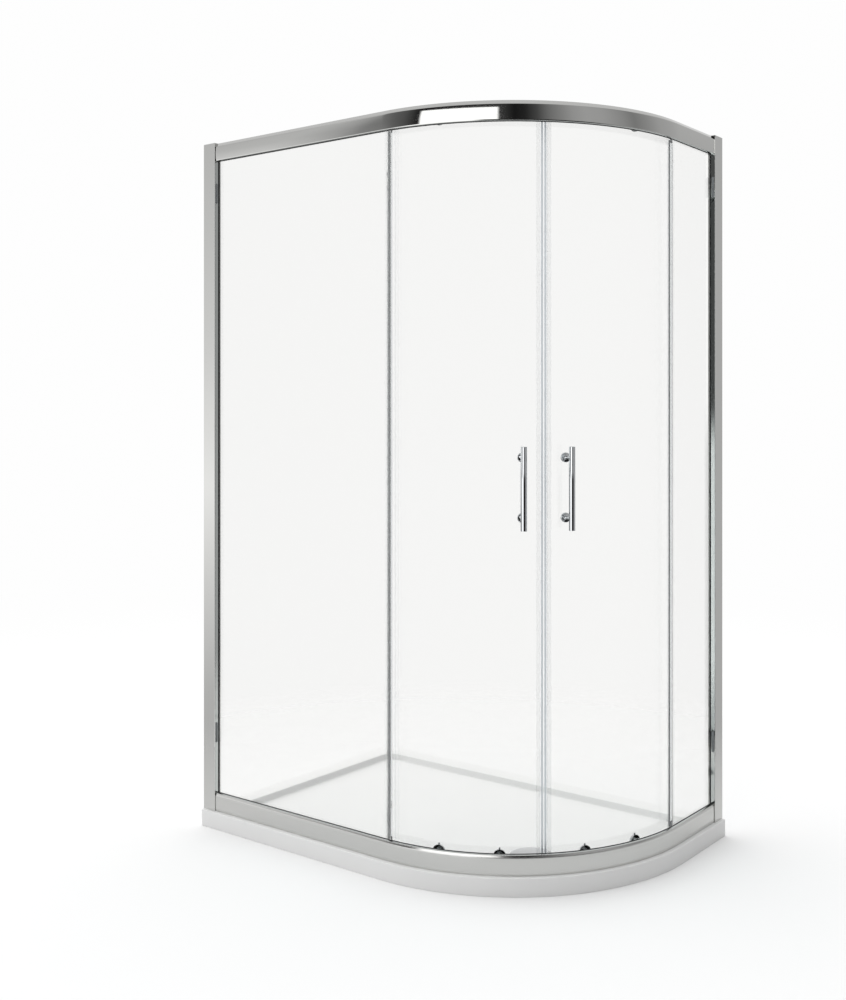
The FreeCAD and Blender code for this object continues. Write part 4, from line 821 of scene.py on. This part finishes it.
def ramp(tree, where, stops):
    """Grey ramp over the numbers from -180 to 180, from (number, grey) stops."""
    share = add(tree, "MapRange", {"Value": where, "From Min": -180.0, "From Max": 180.0})
    made = add(tree, "ValToRGB", {"Fac": share.outputs[0]})
    marks = made.color_ramp.elements
    while len(marks) > 1:
        marks.remove(marks[0])
    marks[0].position = 0.0
    marks[0].color = (stops[0][1],) * 3 + (1,)
    for number, grey in stops[1:]:
        marks.new((number + 180) / 360).color = (grey, grey, grey, 1)
    return made.outputs[0]


world = bpy.data.worlds.new("studio")
bpy.context.scene.world = world
world.use_nodes = True
sky = world.node_tree
sky.nodes.clear()
heading = add(sky, "SeparateXYZ", {0: add(sky, "TexCoord").outputs["Generated"]})
angle = add(sky, "Math", {0: heading.outputs["Y"], 1: heading.outputs["X"]}, operation="ARCTAN2")
degrees = add(sky, "Math", {0: angle.outputs[0]}, operation="DEGREES")
rise = add(sky, "Math", {0: heading.outputs["Z"], 1: 180.0}, operation="MULTIPLY")
leftward = add(sky, "MapRange", {"Value": heading.outputs["X"], "From Min": -0.45, "From Max": -0.65})
grown = add(sky, "MixRGB", {"Fac": leftward.outputs[0], "Color1": (1, 1, 1, 1),
                            "Color2": ramp(sky, rise.outputs[0], left_light)})
low = add(sky, "MapRange", {"Value": heading.outputs["Z"], "From Min": 0.0, "From Max": -0.03})
rings = add(sky, "MixRGB", {"Fac": low.outputs[0], "Color1": ramp(sky, degrees.outputs[0], screens),
                            "Color2": ramp(sky, degrees.outputs[0], low_screens)})
wide = add(sky, "MixRGB", {"Fac": 1.0, "Color1": rings.outputs[0], "Color2": grown.outputs[0]},
           blend_type="MULTIPLY")
panel_top = add(sky, "MapRange", {"Value": heading.outputs["Z"], "From Min": 0.336, "From Max": 0.343,
                                  "To Min": 1.0, "To Max": 0.0})
panel_rise = add(sky, "Math", {0: panel_top.outputs[0], 1: low.outputs[0]}, operation="SUBTRACT", use_clamp=True)
panel = add(sky, "Math", {0: ramp(sky, degrees.outputs[0], panel_headings), 1: panel_rise.outputs[0]},
            operation="MULTIPLY")
around = add(sky, "MixRGB", {"Fac": panel.outputs[0], "Color1": wide.outputs[0],
                             "Color2": (panel_grey,) * 3 + (1,)})
ceiling = add(sky, "MapRange", {"Value": heading.outputs["Z"], "From Min": 0.55, "From Max": 0.75})
mirrored = add(sky, "MixRGB", {"Fac": ceiling.outputs[0], "Color1": around.outputs[0],
                               "Color2": (ceiling_grey,) * 3 + (1,)})
aside = add(sky, "MapRange", {"Value": heading.outputs["X"], "From Min": -1.0, "From Max": 1.0, "To Min": 1.5,
                              "To Max": 0.18})
aloft = add(sky, "MapRange", {"Value": heading.outputs["Z"], "From Min": 0.0, "From Max": 0.8, "To Min": 0.1,
                              "To Max": 1.7})
lit = add(sky, "Math", {0: aside.outputs[0], 1: aloft.outputs[0]}, operation="MULTIPLY")
path = add(sky, "LightPath")
seen = add(sky, "Math", {0: path.outputs["Is Camera Ray"], 1: path.outputs["Is Transmission Ray"]},
           operation="MAXIMUM")
in_panes = add(sky, "MapRange", {"Value": path.outputs["Ray Depth"], "From Min": 1.0, "From Max": 3.0,
                                 "To Min": pane_grey, "To Max": edge_grey})
even = add(sky, "MixRGB", {"Fac": path.outputs["Is Singular Ray"], "Color1": mirrored.outputs[0],
                           "Color2": in_panes.outputs[0]})
surround = add(sky, "MixRGB", {"Fac": path.outputs["Is Glossy Ray"], "Color1": lit.outputs[0],
                               "Color2": even.outputs[0]})
shown = add(sky, "MixRGB", {"Fac": seen.outputs[0], "Color1": surround.outputs[0],
                            "Color2": (*sweep_white, 1.0)})
glow = add(sky, "Background", {"Color": shown.outputs[0], "Strength": 1.0})
sky.links.new(glow.outputs[0], add(sky, "OutputWorld").inputs["Surface"])

eye, eye_turn = (1.99663, -2.66186, 1.15228), 37.061
camera = bpy.data.objects.new("camera", bpy.data.cameras.new("camera"))
camera.data.sensor_width = 36.0
camera.data.lens = 43.58
camera.data.shift_x, camera.data.shift_y = -0.0331, -0.0889
camera.location = eye
camera.rotation_euler = (math.radians(90), 0, math.radians(eye_turn))
bpy.context.scene.collection.objects.link(camera)
bpy.context.scene.camera = camera
bpy.context.scene.view_settings.view_transform = "Standard"
